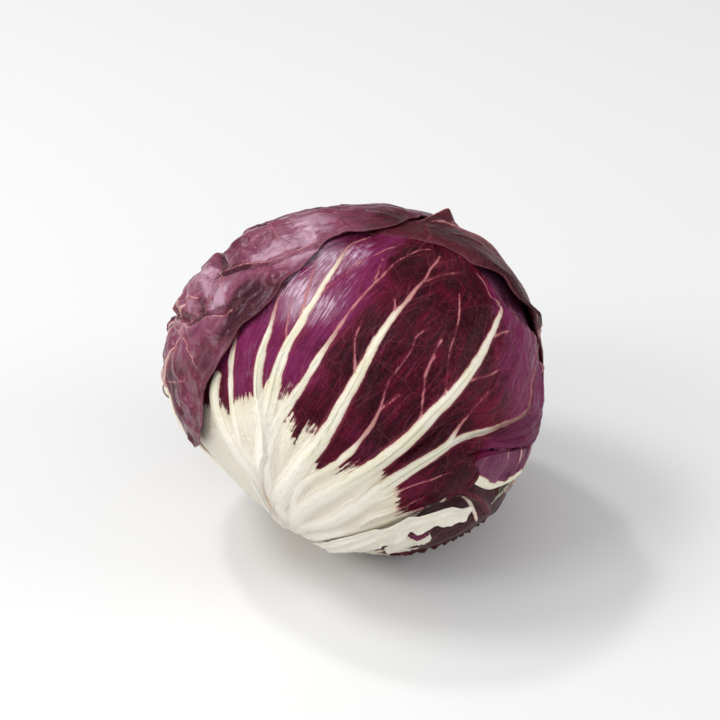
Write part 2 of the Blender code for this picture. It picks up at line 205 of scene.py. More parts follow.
LINES = {
    'b_crease': [(102.7, -26.9), (106.7, -22.4), (109.5, -20.0), (112.4, -15.7), (115.5, -10.6), (119.5, -7.9), (125.0, -5.3), (130.7, -3.3)],
    'b_shadow': [(108.2, -20.9), (112.7, -18.2), (116.1, -13.4), (119.2, -10.3), (122.3, -8.9)],
    'b_knot': [(82.3, -38.0), (84.6, -25.6), (85.4, -19.2), (89.1, -16.7), (91.9, -12.7), (94.5, -8.6), (97.6, -6.0)],
    'b_rim': [(84.2, -43.1), (86.5, -43.5), (89.7, -37.3), (92.7, -29.4)],
    'b_fold_a': [(92.7, -29.4), (92.6, -22.8), (90.2, -17.3)],
    'b_fold_b': [(107.5, -46.7), (105.8, -34.5), (103.2, -25.6)],
    'b_v_low1': [(81.5, -37.4), (81.9, -25.9), (80.8, -18.4), (79.1, -12.9), (77.0, -7.8)],
    'b_v_low2': [(78.8, -26.4), (74.7, -21.9), (70.9, -19.3), (66.6, -17.8), (62.4, -15.8), (57.9, -14.2)],
    'b_cross': [(65.1, -33.7), (67.1, -23.9), (69.1, -18.1), (71.6, -13.0)],
    'b_v1': [(121.8, -48.7), (122.3, -49.1), (123.5, -29.2), (122.4, -16.2), (120.9, -8.3)],
    'b_v2': [(130.6, -38.3), (130.5, -24.6), (130.4, -17.1), (130.7, -10.0)],
    'b_v3': [(137.8, -36.5), (136.3, -21.7), (134.1, -12.5)],
    'b_v4': [(142.9, -30.5), (142.3, -17.0), (141.3, -6.8), (141.2, -0.1)],
    'b_v5': [(116.1, -48.0), (116.5, -32.1), (115.7, -21.5)],
    'b_v6': [(102.9, -27.6), (101.0, -16.3), (98.2, -10.0)],
    'b_dark': [(96.9, -3.0), (101.1, -2.0), (105.9, -0.9), (109.6, -0.0)],
    'c_bump_vein': [(174.4, -4.2), (177.8, -10.6), (173.1, -126.9), (173.3, -135.3)],
    'c_flap_out': [(171.7, 104.1), (167.6, 120.2), (163.0, 123.7), (159.4, 117.8), (156.0, 134.6), (151.1, 140.2), (145.1, 141.3), (140.4, 122.9)],
    'lip': [(93.7, 115.0), (89.5, 111.7), (87.2, 107.5), (85.4, 103.4), (85.6, 98.2), (87.1, 92.4)],
    'lip_inner': [(95.1, 112.9), (91.6, 108.0), (89.1, 103.0), (88.1, 97.9), (88.7, 93.5)],
    'f_curl': [(77.3, 92.6), (79.7, 94.1), (81.1, 97.0), (81.0, 101.9), (78.9, 108.8), (75.1, 120.1), (72.0, 123.5)],
    'torn_up_edge': [(60.2, 88.3), (64.1, 88.2), (67.2, 89.2), (70.1, 91.9), (71.9, 95.2), (71.6, 99.2), (73.7, 100.0), (76.0, 100.4), (79.3, 98.5)],
    'torn_lo_edge': [(54.8, 84.8), (49.6, 91.5), (42.7, 112.0), (44.5, 113.0), (49.2, 110.7), (56.3, 99.9), (59.7, 100.8), (63.2, 96.8)],
    'dark_below': [(63.7, 96.0), (67.2, 102.9), (69.7, 112.9), (71.8, 123.5)],
    'sample_cross': [(99.2, 42.8), (111.7, 11.5), (131.6, 47.7), (78.3, 14.7), (89.9, 87.7)],
}


class Lines:
    """A set of ribs or folds on the head: smooth lines with a width and a height."""

    def __init__(self):
        self.a, self.b, self.v = [], [], []

    def add(self, pts, height=None, ridge=None, groove=0.0, step=2.0, scale=1.0):
        """pts: (from stem, round, half width mm); height in mm, or by the width."""
        D, extra = spline(pts, step)
        w = np.maximum(extra[:, 0] * scale, 0.05)
        if height is None:
            h = 0.60 * w ** 0.70
        elif np.isscalar(height):
            h = np.full(len(w), float(height))
        else:
            h = np.interp(np.linspace(0, 1, len(w)), np.linspace(0, 1, len(height)), height)
        r = w * 0.85 + 0.22 if ridge is None else np.full(len(w), float(ridge))
        g = np.where(w > 1.0, groove, 0.0)
        q = np.stack([w, h, r, g], 1)
        self.a.append(D[:-1])
        self.b.append(D[1:])
        self.v.append(np.hstack([q[:-1], q[1:]]))
        return self

    def field(self, D):
        """Signed width distance (mm, + inside), ridge height (mm), thinness of the nearest
        line, and the place across it (0 on its axis, 1 at its side)."""
        n = len(D)
        sdf = np.full(n, -12.0)
        axis = np.full(n, 9.0)
        ridge = np.zeros(n)
        thin = np.ones(n)
        if not self.a:
            return sdf, ridge, thin, axis
        A, B, V = np.vstack(self.a), np.vstack(self.b), np.vstack(self.v)
        for i in range(len(A)):
            a, b = A[i], B[i]
            near = np.nonzero(D @ ((a + b) * 0.5) > math.cos(math.radians(15.0)))[0]
            if not len(near):
                continue
            q = D[near] - a
            ab = b - a
            t = np.clip((q @ ab) / max(ab @ ab, 1e-12), 0, 1)
            dist = np.linalg.norm(q - t[:, None] * ab, axis=1) * 58.0
            w, h, r, g = [V[i, c] + (V[i, c + 4] - V[i, c]) * t for c in range(4)]
            s = w - dist
            better = s > sdf[near]
            idx = near[better]
            sdf[idx] = s[better]
            thin[idx] = np.clip(1.2 - w[better], 0, 1)
            axis[idx] = (dist / w)[better]
            prof = h * (np.exp(-1.1 * (dist / r) ** 2) - g * np.exp(-(dist / r / 0.22) ** 2))
            ridge[near] = np.maximum(ridge[near], prof)
        return sdf, ridge, thin, axis


def rib_coordinate(t, p, ribs):
    """A coordinate that is constant along each main rib and even between them."""
    cols = [np.interp(t, r[:, 0], r[:, 1]) for r in ribs]
    for i in range(1, len(cols)):
        cols[i] = np.maximum(cols[i], cols[i - 1] + 0.8)
    u = (p - cols[0]) / 9.0
    u = np.minimum(u, 0.0)
    for i in range(len(cols) - 1):
        u = u + np.clip((p - cols[i]) / (cols[i + 1] - cols[i]), 0, 1)
    u = u + np.maximum((p - cols[-1]) / 9.0, 0.0)
    return u


class Leaf:
    """Star-shaped outline round a centre direction on the head."""

    def __init__(self, outline, centre, step=1.2):
        self.centre = direction(*centre)
        up = self.centre * (self.centre @ S) - S
        self.up = up / np.linalg.norm(up)
        self.right = np.cross(self.centre, self.up)
        D, _ = spline(outline, step, closed=True)
        a, b = self.chart(D)
        ang, rad = np.arctan2(b, a), np.hypot(a, b)
        order = np.argsort(ang)
        ang, rad = ang[order], rad[order]
        self.grid = np.linspace(-math.pi, math.pi, 1441)
        self.rad = np.interp(self.grid, np.concatenate([ang - 2 * math.pi, ang, ang + 2 * math.pi]), np.tile(rad, 3))

    def frill(self, amp, freq, seed):
        """Small irregular notches in the margin."""
        g = self.grid
        q = np.stack([np.cos(g) * freq, np.sin(g) * freq, np.full_like(g, seed * 3.1)], 1)
        self.rad = self.rad + amp * fbm(q, 3, seed)
        return self

    def chart(self, D):
        turn = np.degrees(np.arccos(np.clip(D @ self.centre, -1, 1)))
        x, y = D @ self.right, D @ self.up
        s = np.maximum(np.hypot(x, y), 1e-9)
        return turn * x / s, turn * y / s

    def radius_at(self, ang):
        return np.interp(ang, self.grid, self.rad)

    def past(self, D):
        a, b = self.chart(D)
        return np.hypot(a, b) - self.radius_at(np.arctan2(b, a))

    def cover(self, D):
        return 1 - smooth((self.past(D) - 1.0) / COVER)

    def place(self, n):
        """n x n grid laid on the leaf: directions and degrees to the margin."""
        g = np.linspace(-1, 1, n)
        x, y = np.meshgrid(g, g)
        x, y = x.ravel(), y.ravel()
        u, v = x * np.sqrt(1 - y * y / 2), y * np.sqrt(1 - x * x / 2)
        rho, ang = np.hypot(u, v), np.arctan2(v, u)
        # the rays keep to a smoothed outline inside, so that a notch bends only the rim
        wave = np.fft.rfft(self.rad[:-1])
        calm = np.fft.irfft(wave * np.exp(-0.5 * (np.arange(len(wave)) * math.radians(13.0)) ** 2), 1440)
        calm = np.minimum(np.interp(ang, self.grid, np.append(calm, calm[0])), self.radius_at(ang) / 0.72)
        r = self.radius_at(ang)
        share = smooth((rho - 0.35) / 0.65)
        r = calm + (r - calm) * share
        a, b = rho * r * np.cos(ang), rho * r * np.sin(ang)
        turn = np.radians(np.hypot(a, b))
        s = np.maximum(np.hypot(a, b), 1e-9)
        way = (self.right * (a / s)[:, None] + self.up * (b / s)[:, None])
        D = self.centre * np.cos(turn)[:, None] + way * np.sin(turn)[:, None]
        return D, (1 - rho) * self.radius_at(ang)


class Ribbon:
    """A narrow leaf part between two edge lines, with a frilled lower edge."""

    def __init__(self, upper, lower, frill=0.0, seed=1):
        self.a, self.b = [self.even(spline(e, 1.0)[0]) for e in (upper, lower)]
        s = np.linspace(0, 1, len(self.a))
        wave = fbm(np.stack([s * 17, s * 0, s * 0 + seed], 1), 3, seed) * smooth(s / 0.35)
        self.b = self.b + (self.b - self.a) * (frill * wave)[:, None]
        self.b /= np.linalg.norm(self.b, axis=1)[:, None]

    @staticmethod
    def even(D, count=160):
        run = np.concatenate([[0], np.cumsum(np.linalg.norm(np.diff(D, axis=0), axis=1))])
        x = np.linspace(0, run[-1], count)
        return np.stack([np.interp(x, run, D[:, k]) for k in range(3)], 1)

    def past(self, D):
        mid = self.a[::4] + self.b[::4]
        mid /= np.linalg.norm(mid, axis=1)[:, None]
        half = np.degrees(np.linalg.norm(self.a[::4] - self.b[::4], axis=1)) / 2
        away = np.degrees(np.arccos(np.clip(D @ mid.T, -1, 1))) - half
        return away.min(axis=1)

    def place(self, n):
        s, y = np.meshgrid(np.linspace(0, 1, n), np.linspace(0, 1, n))
        s, y = s.ravel(), y.ravel()
        x = np.linspace(0, 1, len(self.a))
        a = np.stack([np.interp(s, x, self.a[:, k]) for k in range(3)], 1)
        b = np.stack([np.interp(s, x, self.b[:, k]) for k in range(3)], 1)
        D = a * (1 - y)[:, None] + b * y[:, None]
        D /= np.linalg.norm(D, axis=1)[:, None]
        span = np.degrees(np.linalg.norm(a - b, axis=1))
        return D, np.minimum(np.minimum(y, 1 - y) * span, np.minimum(s, 1 - s) * 30)


def grid_faces(n):
    i = np.arange(n - 1)
    a = (i[:, None] * n + i[None, :]).ravel()
    return np.stack([a, a + 1, a + n + 1, a + n], 1)


def rim(n):
    """Indices round the border of an n x n grid, in order."""
    i = np.arange(n - 1)
    return np.concatenate([i, (i + 1) * n - 1, n * n - 1 - i, (n - 1 - i) * n])


def closed_leaf(outer, inner, n, m):
    """Outer n x n grid and inner m x m grid (n - 1 = k (m - 1)) joined at the rim."""
    verts = np.vstack([outer, inner])
    off = n * n
    quads = grid_faces(n)
    tris = np.vstack([quads[:, [0, 1, 2]], quads[:, [0, 2, 3]]])
    q2 = grid_faces(m) + off
    tris2 = np.vstack([q2[:, [2, 1, 0]], q2[:, [3, 2, 0]]])
    ro, ri = rim(n), rim(m) + off
    k = (n - 1) // (m - 1)
    side = []
    L, M = len(ro), len(ri)
    half = (k + 1) // 2
    for j in range(M):
        c0, c1 = ri[j], ri[(j + 1) % M]
        for s in range(k):
            f0, f1 = ro[(j * k + s) % L], ro[(j * k + s + 1) % L]
            side.append((f1, f0, c0 if s < half else c1))
            if s == half - 1:
                side.append((f1, c0, c1))
    return verts, np.vstack([tris, tris2, np.array(side)])


def mesh_object(name, verts, faces, attributes, material):
    me = bpy.data.meshes.new(name)
    me.vertices.add(len(verts))
    me.vertices.foreach_set("co", verts.astype(np.float32).ravel())
    me.loops.add(len(faces) * 3)
    me.loops.foreach_set("vertex_index", np.ascontiguousarray(faces).astype(np.int32).ravel())
    me.polygons.add(len(faces))
    me.polygons.foreach_set("loop_start", np.arange(0, len(faces) * 3, 3, dtype=np.int32))
    me.update(calc_edges=True)
    if me.validate():
        print("MESH REPAIRED", name)
    me.polygons.foreach_set("use_smooth", np.ones(len(me.polygons), bool))
    for key, value in attributes.items():
        value = np.asarray(value, np.float32)
        if value.ndim == 2:
            at = me.attributes.new(key, 'FLOAT_VECTOR', 'POINT')
            at.data.foreach_set("vector", value.ravel())
        else:
            at = me.attributes.new(key, 'FLOAT', 'POINT')
            at.data.foreach_set("value", value)
    me.materials.append(material)
    ob = bpy.data.objects.new(name, me)
    bpy.context.scene.collection.objects.link(ob)
    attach(ob, "root")
    return ob


def signed_volume(v, f):
    a, b, c = v[f[:, 0]], v[f[:, 1]], v[f[:, 2]]
    return np.einsum('ij,ij->i', a, np.cross(b, c)).sum() / 6


OVER = []     # leaves already placed, the outermost first
COUNT = {}


def build_leaf(name, leaf, design, material, n=241, k=4, nodes=(), spacing=SPACING,
               thickness=BLADE, seed=1):
    """A closed leaf. design(D, t, p, edge, air) -> low (m), high (m), attributes."""
    m = (n - 1) // k + 1
    res = []
    for size, inside in ((n, False), (m, True)):
        D, edge = leaf.place(size)
        t, p = head_angles(D)
        depth = np.zeros(len(D))
        air = np.ones(len(D))
        for o in OVER:
            past = o.past(D)
            depth += (1 - smooth((past - 1.0) / COVER)) * spacing
            air *= smooth(past / 8.0)
        low, high, at = design(D, t, p, edge, air)
        thin_rim = 0.45 + 0.55 * smooth(edge / 4.0)
        if inside:
            d = depth - low + thickness * thin_rim
            P = shell(D, d, np.maximum(depth, 0) + thickness * thin_rim)
        else:
            fade = smooth(edge / 1.2)
            d = depth - low - high * fade
            P = shell(D, d, np.maximum(depth, 0.0))
        at = dict(at)
        at["edge"] = np.minimum(edge, 12.0) + (20.0 if inside else 0.0)
        res.append((P, at))
    verts, faces = closed_leaf(res[0][0], res[1][0], n, m)
    if signed_volume(verts, faces) < 0:
        faces = faces[:, ::-1]
    attributes = {key: np.concatenate([res[0][1][key], res[1][1][key]]) for key in res[0][1]}
    ob = mesh_object(name, verts, faces, attributes, material)
    if nodes:
        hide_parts(*nodes)
    OVER.append(leaf)
    COUNT[name] = len(faces)
    return ob


# ---------------------------------------------------------------- materials
class Net:
    """Small helper to write shader node trees as expressions."""

    def __init__(self, name):
        self.mat = bpy.data.materials.new(name)
        self.mat.use_nodes = True
        self.tree = self.mat.node_tree
        self.tree.nodes.clear()

    def node(self, kind, **props):
        n = self.tree.nodes.new(kind)
        for k, v in props.items():
            setattr(n, k, v)
        return n

    def put(self, socket, value):
        if isinstance(value, bpy.types.NodeSocket):
            self.tree.links.new(value, socket)
        elif isinstance(value, (tuple, list)) and socket.type == 'RGBA' and len(value) == 3:
            socket.default_value = (*value, 1.0)
        else:
            socket.default_value = value

    def math(self, op, a, b=0.0, c=0.0, clamp=False):
        n = self.node('ShaderNodeMath', operation=op, use_clamp=clamp)
        self.put(n.inputs[0], a)
        if len(n.inputs) > 1:
            self.put(n.inputs[1], b)
        if len(n.inputs) > 2:
            self.put(n.inputs[2], c)
        return n.outputs[0]

    def add(self, a, b): return self.math('ADD', a, b)
    def sub(self, a, b): return self.math('SUBTRACT', a, b)
    def mul(self, a, b): return self.math('MULTIPLY', a, b)
    def lo(self, a, b): return self.math('MINIMUM', a, b)
    def hi(self, a, b): return self.math('MAXIMUM', a, b)

    def step(self, x, a, b, lo=0.0, hi=1.0):
        """Smooth step of x from a to b, to the range lo to hi."""
        n = self.node('ShaderNodeMapRange', interpolation_type='SMOOTHSTEP')
        self.put(n.inputs['Value'], x)
        n.inputs['From Min'].default_value = a
        n.inputs['From Max'].default_value = b
        n.inputs['To Min'].default_value = lo
        n.inputs['To Max'].default_value = hi
        return n.outputs[0]

    def mix(self, f, a, b, blend='MIX'):
        n = self.node('ShaderNodeMix', data_type='RGBA', blend_type=blend)
        n.clamp_factor = True
        self.put(n.inputs[0], f)
        self.put(n.inputs[6], a)
        self.put(n.inputs[7], b)
        return n.outputs[2]

    def attr(self, name, vector=False):
        n = self.node('ShaderNodeAttribute', attribute_name=name)
        n.attribute_type = 'GEOMETRY'
        return n.outputs['Vector'] if vector else n.outputs['Fac']

    def position(self):
        return self.node('ShaderNodeTexCoord').outputs['Object']

    def scaled(self, v, s):
        n = self.node('ShaderNodeVectorMath', operation='MULTIPLY')
        self.put(n.inputs[0], v)
        n.inputs[1].default_value = s if isinstance(s, (tuple, list)) else (s, s, s)
        return n.outputs[0]

    def vadd(self, a, b):
        n = self.node('ShaderNodeVectorMath', operation='ADD')
        self.put(n.inputs[0], a)
        self.put(n.inputs[1], b)
        return n.outputs[0]

    def noise(self, v, scale, detail=3.0, rough=0.55, color=False):
        n = self.node('ShaderNodeTexNoise', noise_dimensions='3D')
        self.put(n.inputs['Vector'], v)
        n.inputs['Scale'].default_value = scale
        n.inputs['Detail'].default_value = detail
        n.inputs['Roughness'].default_value = rough
        return n.outputs['Color'] if color else n.outputs['Fac']

    def voronoi(self, v, scale, feature='DISTANCE_TO_EDGE'):
        n = self.node('ShaderNodeTexVoronoi', voronoi_dimensions='3D', feature=feature)
        self.put(n.inputs['Vector'], v)
        n.inputs['Scale'].default_value = scale
        n.inputs['Randomness'].default_value = 1.0
        return n.outputs['Distance']

    def wobble(self, v, scale, amount):
        """v shifted by noise, by up to about amount."""
        c = self.noise(v, scale, 2.0, 0.5, color=True)
        n = self.node('ShaderNodeVectorMath', operation='SUBTRACT')
        self.put(n.inputs[0], c)
        n.inputs[1].default_value = (0.5, 0.5, 0.5)
        return self.vadd(v, self.scaled(n.outputs[0], amount * 2))

    def bump(self, height, strength, distance, normal=None):
        n = self.node('ShaderNodeBump')
        n.inputs['Strength'].default_value = strength
        n.inputs['Distance'].default_value = distance
        self.put(n.inputs['Height'], height)
        if normal is not None:
            self.put(n.inputs['Normal'], normal)
        return n.outputs[0]

    def finish(self, color, roughness, normal, specular=0.5, sheen=0.0, subsurface=0.0, coat=0.0, coat_rough=0.3, tint=None):
        b = self.node('ShaderNodeBsdfPrincipled')
        out = self.node('ShaderNodeOutputMaterial')
        self.put(b.inputs['Base Color'], color)
        self.put(b.inputs['Roughness'], roughness)
        self.put(b.inputs['Normal'], normal)
        b.inputs['Specular IOR Level'].default_value = specular
        if tint:
            b.inputs['Specular Tint'].default_value = (*tint, 1.0)
        if sheen:
            b.inputs['Sheen Weight'].default_value = sheen
            b.inputs['Sheen Roughness'].default_value = 0.5
        if coat:
            b.inputs['Coat Weight'].default_value = coat
            b.inputs['Coat Roughness'].default_value = coat_rough
        if subsurface:
            b.inputs['Subsurface Weight'].default_value = subsurface
            b.inputs['Subsurface Radius'].default_value = (1.0, 0.6, 0.45)
            b.inputs['Subsurface Scale'].default_value = 0.0012
        self.tree.links.new(b.outputs[0], out.inputs[0])
        return self.mat


def leaf_material(name, deep, mid, violet, pink=(0.55, 0.27, 0.30), net=0.5, net_scale=260.0, gloss=0.36,
                  violet_share=0.5, cream_tone=(0.80, 0.76, 0.58), bloom=0.0, streak=1.0, bump=1.0, quilt=0.5,
                  sheen=0.0, specular=0.5, feather=6.0, tint=(1.0, 0.66, 0.84), vein_mix=0.85, painted_highlight=0.0, highlight_tone=(0.62, 0.40, 0.52)):
    g = Net(name)
    pos = g.position()
    rib, base, thin, edge = g.attr("rib"), g.attr("base"), g.attr("thin"), g.attr("edge")
    tone, st, rel, axis = g.attr("tone"), g.attr("st", True), g.attr("rel"), g.attr("axis")
    # streaks follow the ribs; the grain runs along the leaf
    long_streak = g.noise(g.scaled(st, (9.0, 0.06, 1.0)), 1.0, 3.0, 0.6)
    fine_streak = g.noise(g.scaled(st, (27.0, 0.13, 1.0)), 1.0, 2.0, 0.6)
    mid_streak = g.noise(g.scaled(st, (15.0, 0.10, 1.0)), 1.0, 4.0, 0.65)
    speck = g.noise(pos, 900.0, 2.0, 0.6)
    blotch = g.noise(pos, 60.0, 4.0, 0.6)
    wide = g.noise(pos, 22.0, 2.0, 0.5)
    # where the leaf is cream: ribs with a ragged edge, and the base with brushed ends
    e1 = g.add(rib, g.mul(g.sub(g.noise(pos, 1300.0, 3.0, 0.6), 0.5), 0.45))
    e1 = g.add(e1, g.mul(g.sub(fine_streak, 0.5), 0.55))
    e2 = g.add(base, g.mul(g.sub(long_streak, 0.5), feather * 1.5))
    e2 = g.add(e2, g.mul(g.sub(g.noise(pos, 170.0, 4.0, 0.6), 0.5), feather * 2.4))
    e2 = g.add(e2, g.mul(g.sub(fine_streak, 0.5), feather * 1.8))
    e2 = g.add(e2, g.mul(g.sub(g.noise(pos, 500.0, 3.0, 0.6), 0.5), 3.0))
    m1 = g.step(e1, -0.14, 0.14)
    m2 = g.step(e2, -1.2, 1.0)
    cream = g.hi(m1, m2)
    halo = g.hi(g.step(e1, -0.7, 0.1), g.step(e2, -3.5, 0.5))
    # fine vein network
    wob = g.wobble(pos, 190.0, 0.0012)
    big = g.voronoi(wob, net_scale)
    small = g.voronoi(g.wobble(pos, 500.0, 0.0008), net_scale * 2.7)
    long_net = g.voronoi(g.scaled(st, (2.6, 0.085, 1.0)), 1.0)
    line_big = g.hi(g.mul(g.step(big, 0.030, 0.004), 0.7), g.mul(g.step(long_net, 0.020, 0.003), 0.9))
    line_small = g.step(small, 0.06, 0.01)
    lines = g.lo(g.add(line_big, g.mul(line_small, 0.22)), 1.0)
    # blade colour
    brush = g.add(g.mul(blotch, 0.50), g.mul(g.add(mid_streak, fine_streak), 0.40))
    c = g.mix(g.step(g.add(brush, g.mul(tone, 0.12)), 0.50, 0.82), deep, mid)
    c = g.mix(g.mul(g.mul(g.step(g.add(wide, g.mul(tone, 0.5)), 0.45, 0.95), violet_share), g.step(brush, 0.46, 0.78, 0.12, 1.0)), c, violet)
    c = g.mix(g.mul(g.step(fine_streak, 0.55, 0.80), 0.22 * streak), c, violet)
    c = g.mix(g.mul(lines, net), c, pink)
    c = g.mix(g.mul(g.step(speck, 0.60, 0.75), 0.05), c, pink)
    if bloom:
        c = g.mix(g.mul(g.mul(g.step(g.noise(pos, 45.0, 3.0, 0.6), 0.42, 0.70), bloom), g.step(tone, -0.5, 0.3)), c, (0.50, 0.36, 0.42))
    if painted_highlight:
        # painted highlight: a silvery lilac highlight colour, broken into streaks, where the tone is raised
        highlight_streaks = g.add(g.mul(g.add(mid_streak, fine_streak), 0.5 * streak), g.mul(g.noise(pos, 130.0, 4.0, 0.65), 1.0 - 0.5 * streak))
        highlight_streaks = g.add(highlight_streaks, g.mul(g.step(tone, 1.1, 3.4), 0.16 - 0.11 * streak))
        c = g.mix(g.mul(g.mul(g.step(g.noise(pos, 75.0, 4.0, 0.6), 0.34, 0.72), g.step(tone, 1.3, 3.0)), 0.50 * streak), c, highlight_tone)
        c = g.mix(g.mul(g.mul(g.step(highlight_streaks, 0.455 + 0.285 * streak, 0.635 + 0.27 * streak), g.step(tone, 1.0, 2.4)), painted_highlight * (1.0 - 0.25 * streak)), c, highlight_tone)
    c = g.mix(g.mul(g.step(edge, 0.8, 0.1), 0.22), c, pink)
    # cream parts: white at the base, yellow green along the ribs, rosy where thin
    white = (0.86, 0.82, 0.72)
    k = g.mix(g.step(g.noise(pos, 120.0, 3.0, 0.6), 0.35, 0.7), cream_tone, white)
    k = g.mix(g.step(base, -2.0, 14.0), k, white)
    k = g.mix(g.mul(g.step(fine_streak, 0.50, 0.80), 0.40), k, (0.74, 0.62, 0.46))
    k = g.mix(g.mul(g.step(mid_streak, 0.56, 0.74), 0.45), k, (0.62, 0.58, 0.34))
    k = g.mix(g.mul(g.step(g.noise(g.scaled(st, (22.0, 0.05, 1.0)), 1.0, 3.0, 0.6), 0.60, 0.82), 0.45), k, (0.70, 0.67, 0.42))
    # painted shade: tan darkening in the low grooves of the cream base
    k = g.mix(g.mul(g.step(rel, 0.4, -0.6, 0.0, 0.38), g.step(base, -6.0, 3.0)), k, (0.66, 0.57, 0.42))
    # pinkish-beige sides of the ribs: partly their own colour, partly painted shade on the rounded sides
    k = g.mix(g.mul(g.mul(g.step(e1, 0.75, 0.0), g.step(base, 4.0, -6.0)), 0.55), k, (0.60, 0.38, 0.28))
    k = g.mix(g.mul(g.mul(g.step(axis, 0.20, 0.06), g.step(rib, 0.7, 1.3)), g.step(base, 10.0, -4.0, 0.0, 0.55)), k, (0.36, 0.38, 0.20))
    k = g.mix(g.mul(g.attr("stain"), 0.6), k, (0.62, 0.34, 0.14))
    # painted shade: thin brown lines along the rib edges in the grooves of the base
    groove_shade_line = g.step(g.math('ABSOLUTE', g.add(rib, g.mul(g.sub(speck, 0.5), 0.5))), 0.42, 0.05)
    k = g.mix(g.mul(g.mul(groove_shade_line, g.step(base, -4.0, 2.0)), g.step(base, 34.0, 12.0, 0.08, 0.30)), k, (0.55, 0.42, 0.27))
    k = g.mix(g.mul(g.mul(g.step(thin, 0.15, 0.95), vein_mix), g.mul(g.step(rib, -1.6, -0.5), g.step(base, 4.0, -3.0))), k, pink)
    c = g.mix(g.mul(g.step(rel, 0.04, 0.20), 0.20), c, pink)
    c = g.mix(g.mul(halo, 0.30), c, (0.26, 0.030, 0.065))
    color = g.mix(cream, c, k)
    rough = g.add(g.mul(g.noise(pos, 350.0, 3.0, 0.6), 0.14), gloss - 0.07)
    rough = g.add(rough, g.mul(cream, 0.10))
    height = g.mul(g.add(g.mul(fine_streak, 0.9 * streak), g.mul(mid_streak, 1.8 * streak)), g.step(base, 8.0, -10.0, 0.45, 1.0))
    height = g.add(height, g.mul(g.step(big, 0.0, 0.22), quilt))
    height = g.add(height, g.mul(g.step(small, 0.0, 0.3), quilt * 0.35))
    height = g.add(height, g.mul(speck, 0.15))
    normal = g.bump(height, 0.7 * bump, 0.00045)
    return g.finish(color, rough, normal, specular=specular, sheen=sheen, subsurface=0.08, tint=tint)


# ------------------------------------------------------------- leaf designs
def cream_reach(p, table):
    """Degrees from the stem up to which the leaf is cream, by the angle round it."""
    a = np.array(sorted(table))
    return np.interp(p, a[:, 0], a[:, 1])


MAIN = [np.array(FRONT_VEINS[k]) for k in ('L3', 'L2', 'L1', 'midrib', 'R1', 'R2', 'R3', 'R4', 'low')]
front_lines = Lines()
FOOT = {'midrib': [(14, 44, 3.0), (26, 43, 3.8)], 'L2': [(16, 38, 1.6), (30, 36, 2.0)], 'L3': [(14, 38, 1.8), (26, 37, 2.2)],
        'R2': [(16, 42, 2.2), (32, 39, 2.8)], 'R3': [(16, 50, 2.4), (32, 48, 2.8)], 'R4': [(14, 56, 2.4), (26, 53, 2.7)],
        'R2b': [(44, 44, 0.6), (53, 42, 1.2)], 'low': [(16, 66, 2.4), (30, 66, 2.7)], 'R6': [(46, 70, 0.8), (54, 70, 1.3)],
        'R5': [(52, 62, 0.8), (59, 62.5, 1.2)]}
for key, pts in FRONT_VEINS.items():
    pts = FOOT.get(key, []) + pts
    front_lines.add([(a, b, w if w > 0.9 else max(0.16, w * 0.72)) for a, b, w in pts], groove=0.28 if key in ('R2', 'R3', 'R4') else 0.0, scale=0.86)

# fine veins branching from the ribs
front_fine = Lines()
vein_rng = np.random.default_rng(12)
for key in ('L2', 'L1', 'midrib', 'R1', 'R2', 'R3', 'R4'):
    rib_path = np.array(FRONT_VEINS[key])
    for j in range(1, len(rib_path) - 1):
        for side in (-1, 1):
            chance, length, angle = vein_rng.random(), vein_rng.uniform(8, 19), vein_rng.uniform(24, 44)
            swing = vein_rng.uniform(-0.5, 0.5, 6)
            t0, p0 = rib_path[j, 0], rib_path[j, 1]
            if chance < 0.30 or t0 < 70:
                continue
            s0 = math.sin(math.radians(t0))
            heading = math.atan2((rib_path[j + 1, 1] - rib_path[j - 1, 1]) * s0, rib_path[j + 1, 0] - rib_path[j - 1, 0])
            path = []
            for m in range(6):
                q = m / 5
                bend = heading + side * math.radians(angle) * (1 - 0.45 * q)
                tt = t0 + length * q * math.cos(bend)
                path.append((tt, p0 + (length * q * math.sin(bend) + swing[m] * q) / max(0.3, math.sin(math.radians(min(tt, 166)))), 0.05))
            front_fine.add(path, height=[0.20, 0.17, 0.13, 0.05], ridge=0.40)

front_outline = (
    [(14, 112), (14, 46), (15, -30), (26, -62), (44, -58), (62, -48), (90, -34), (120, -32), (145, -36), (163, -40)]
    + [(170, 0), (171, 50), (164, 80)]
    + EDGE_A_RIGHT
    + [(127, 121), (121.3, 120.8), (115.1, 125.1), (108.8, 127.4), (103.5, 125.5), (100.6, 117), (99.2, 106), (97.4, 98.5), (94.6, 91.5), (91.9, 89.8), (90.0, 93.6), (86.4, 95.4), (81.4, 93.2), (77.2, 90.0), (74.2, 86.6)]
    + [(71.0, 84.6), (67.5, 84.8), (62, 86.5), (57, 88.5), (50, 93), (41, 101), (30, 108)])
front = Leaf(front_outline, (88, 44), 1.2)


front_creases = Lines()
front_creases.add([(99.0, 110, .5), (98.4, 97.5, .5), (96.8, 90.5, .5), (94.6, 86.0, .4), (93.4, 82.5, .3), (93.0, 78.5, .1)], height=[1.8, 2.6, 2.8, 2.4, 1.2, 0.1], ridge=0.7)
front_creases.add([(100.0, 118, .5), (98.0, 104, .5), (95.4, 95, .5), (93.2, 88.5, .5), (92.3, 84.5, .3), (92.0, 81, .1)], height=[1.0, 2.6, 3.0, 2.6, 1.4, 0.1], ridge=1.9)
front_creases.add([(104.5, 112, .4), (101.5, 100, .4), (99.5, 92, .4), (97.0, 86, .3), (95, 81, .1)], height=[0.3, 1.2, 1.4, 0.9, 0.1], ridge=1.2)
front_creases.add([(a, b, .3) for a, b in EDGE_CREASE34], height=[0.1, 0.9, 1.3, 1.3, 1.1, 0.8, 0.5, 0.1], ridge=0.7)


front_stain = Lines()
front_stain.add([(57.5, 26.5, .1), (52, 29, .1), (46, 33, .1), (38, 37, .1), (30, 41, .1)], height=[0.1, 0.8, 1.0, 0.8, 0.2], ridge=0.8)


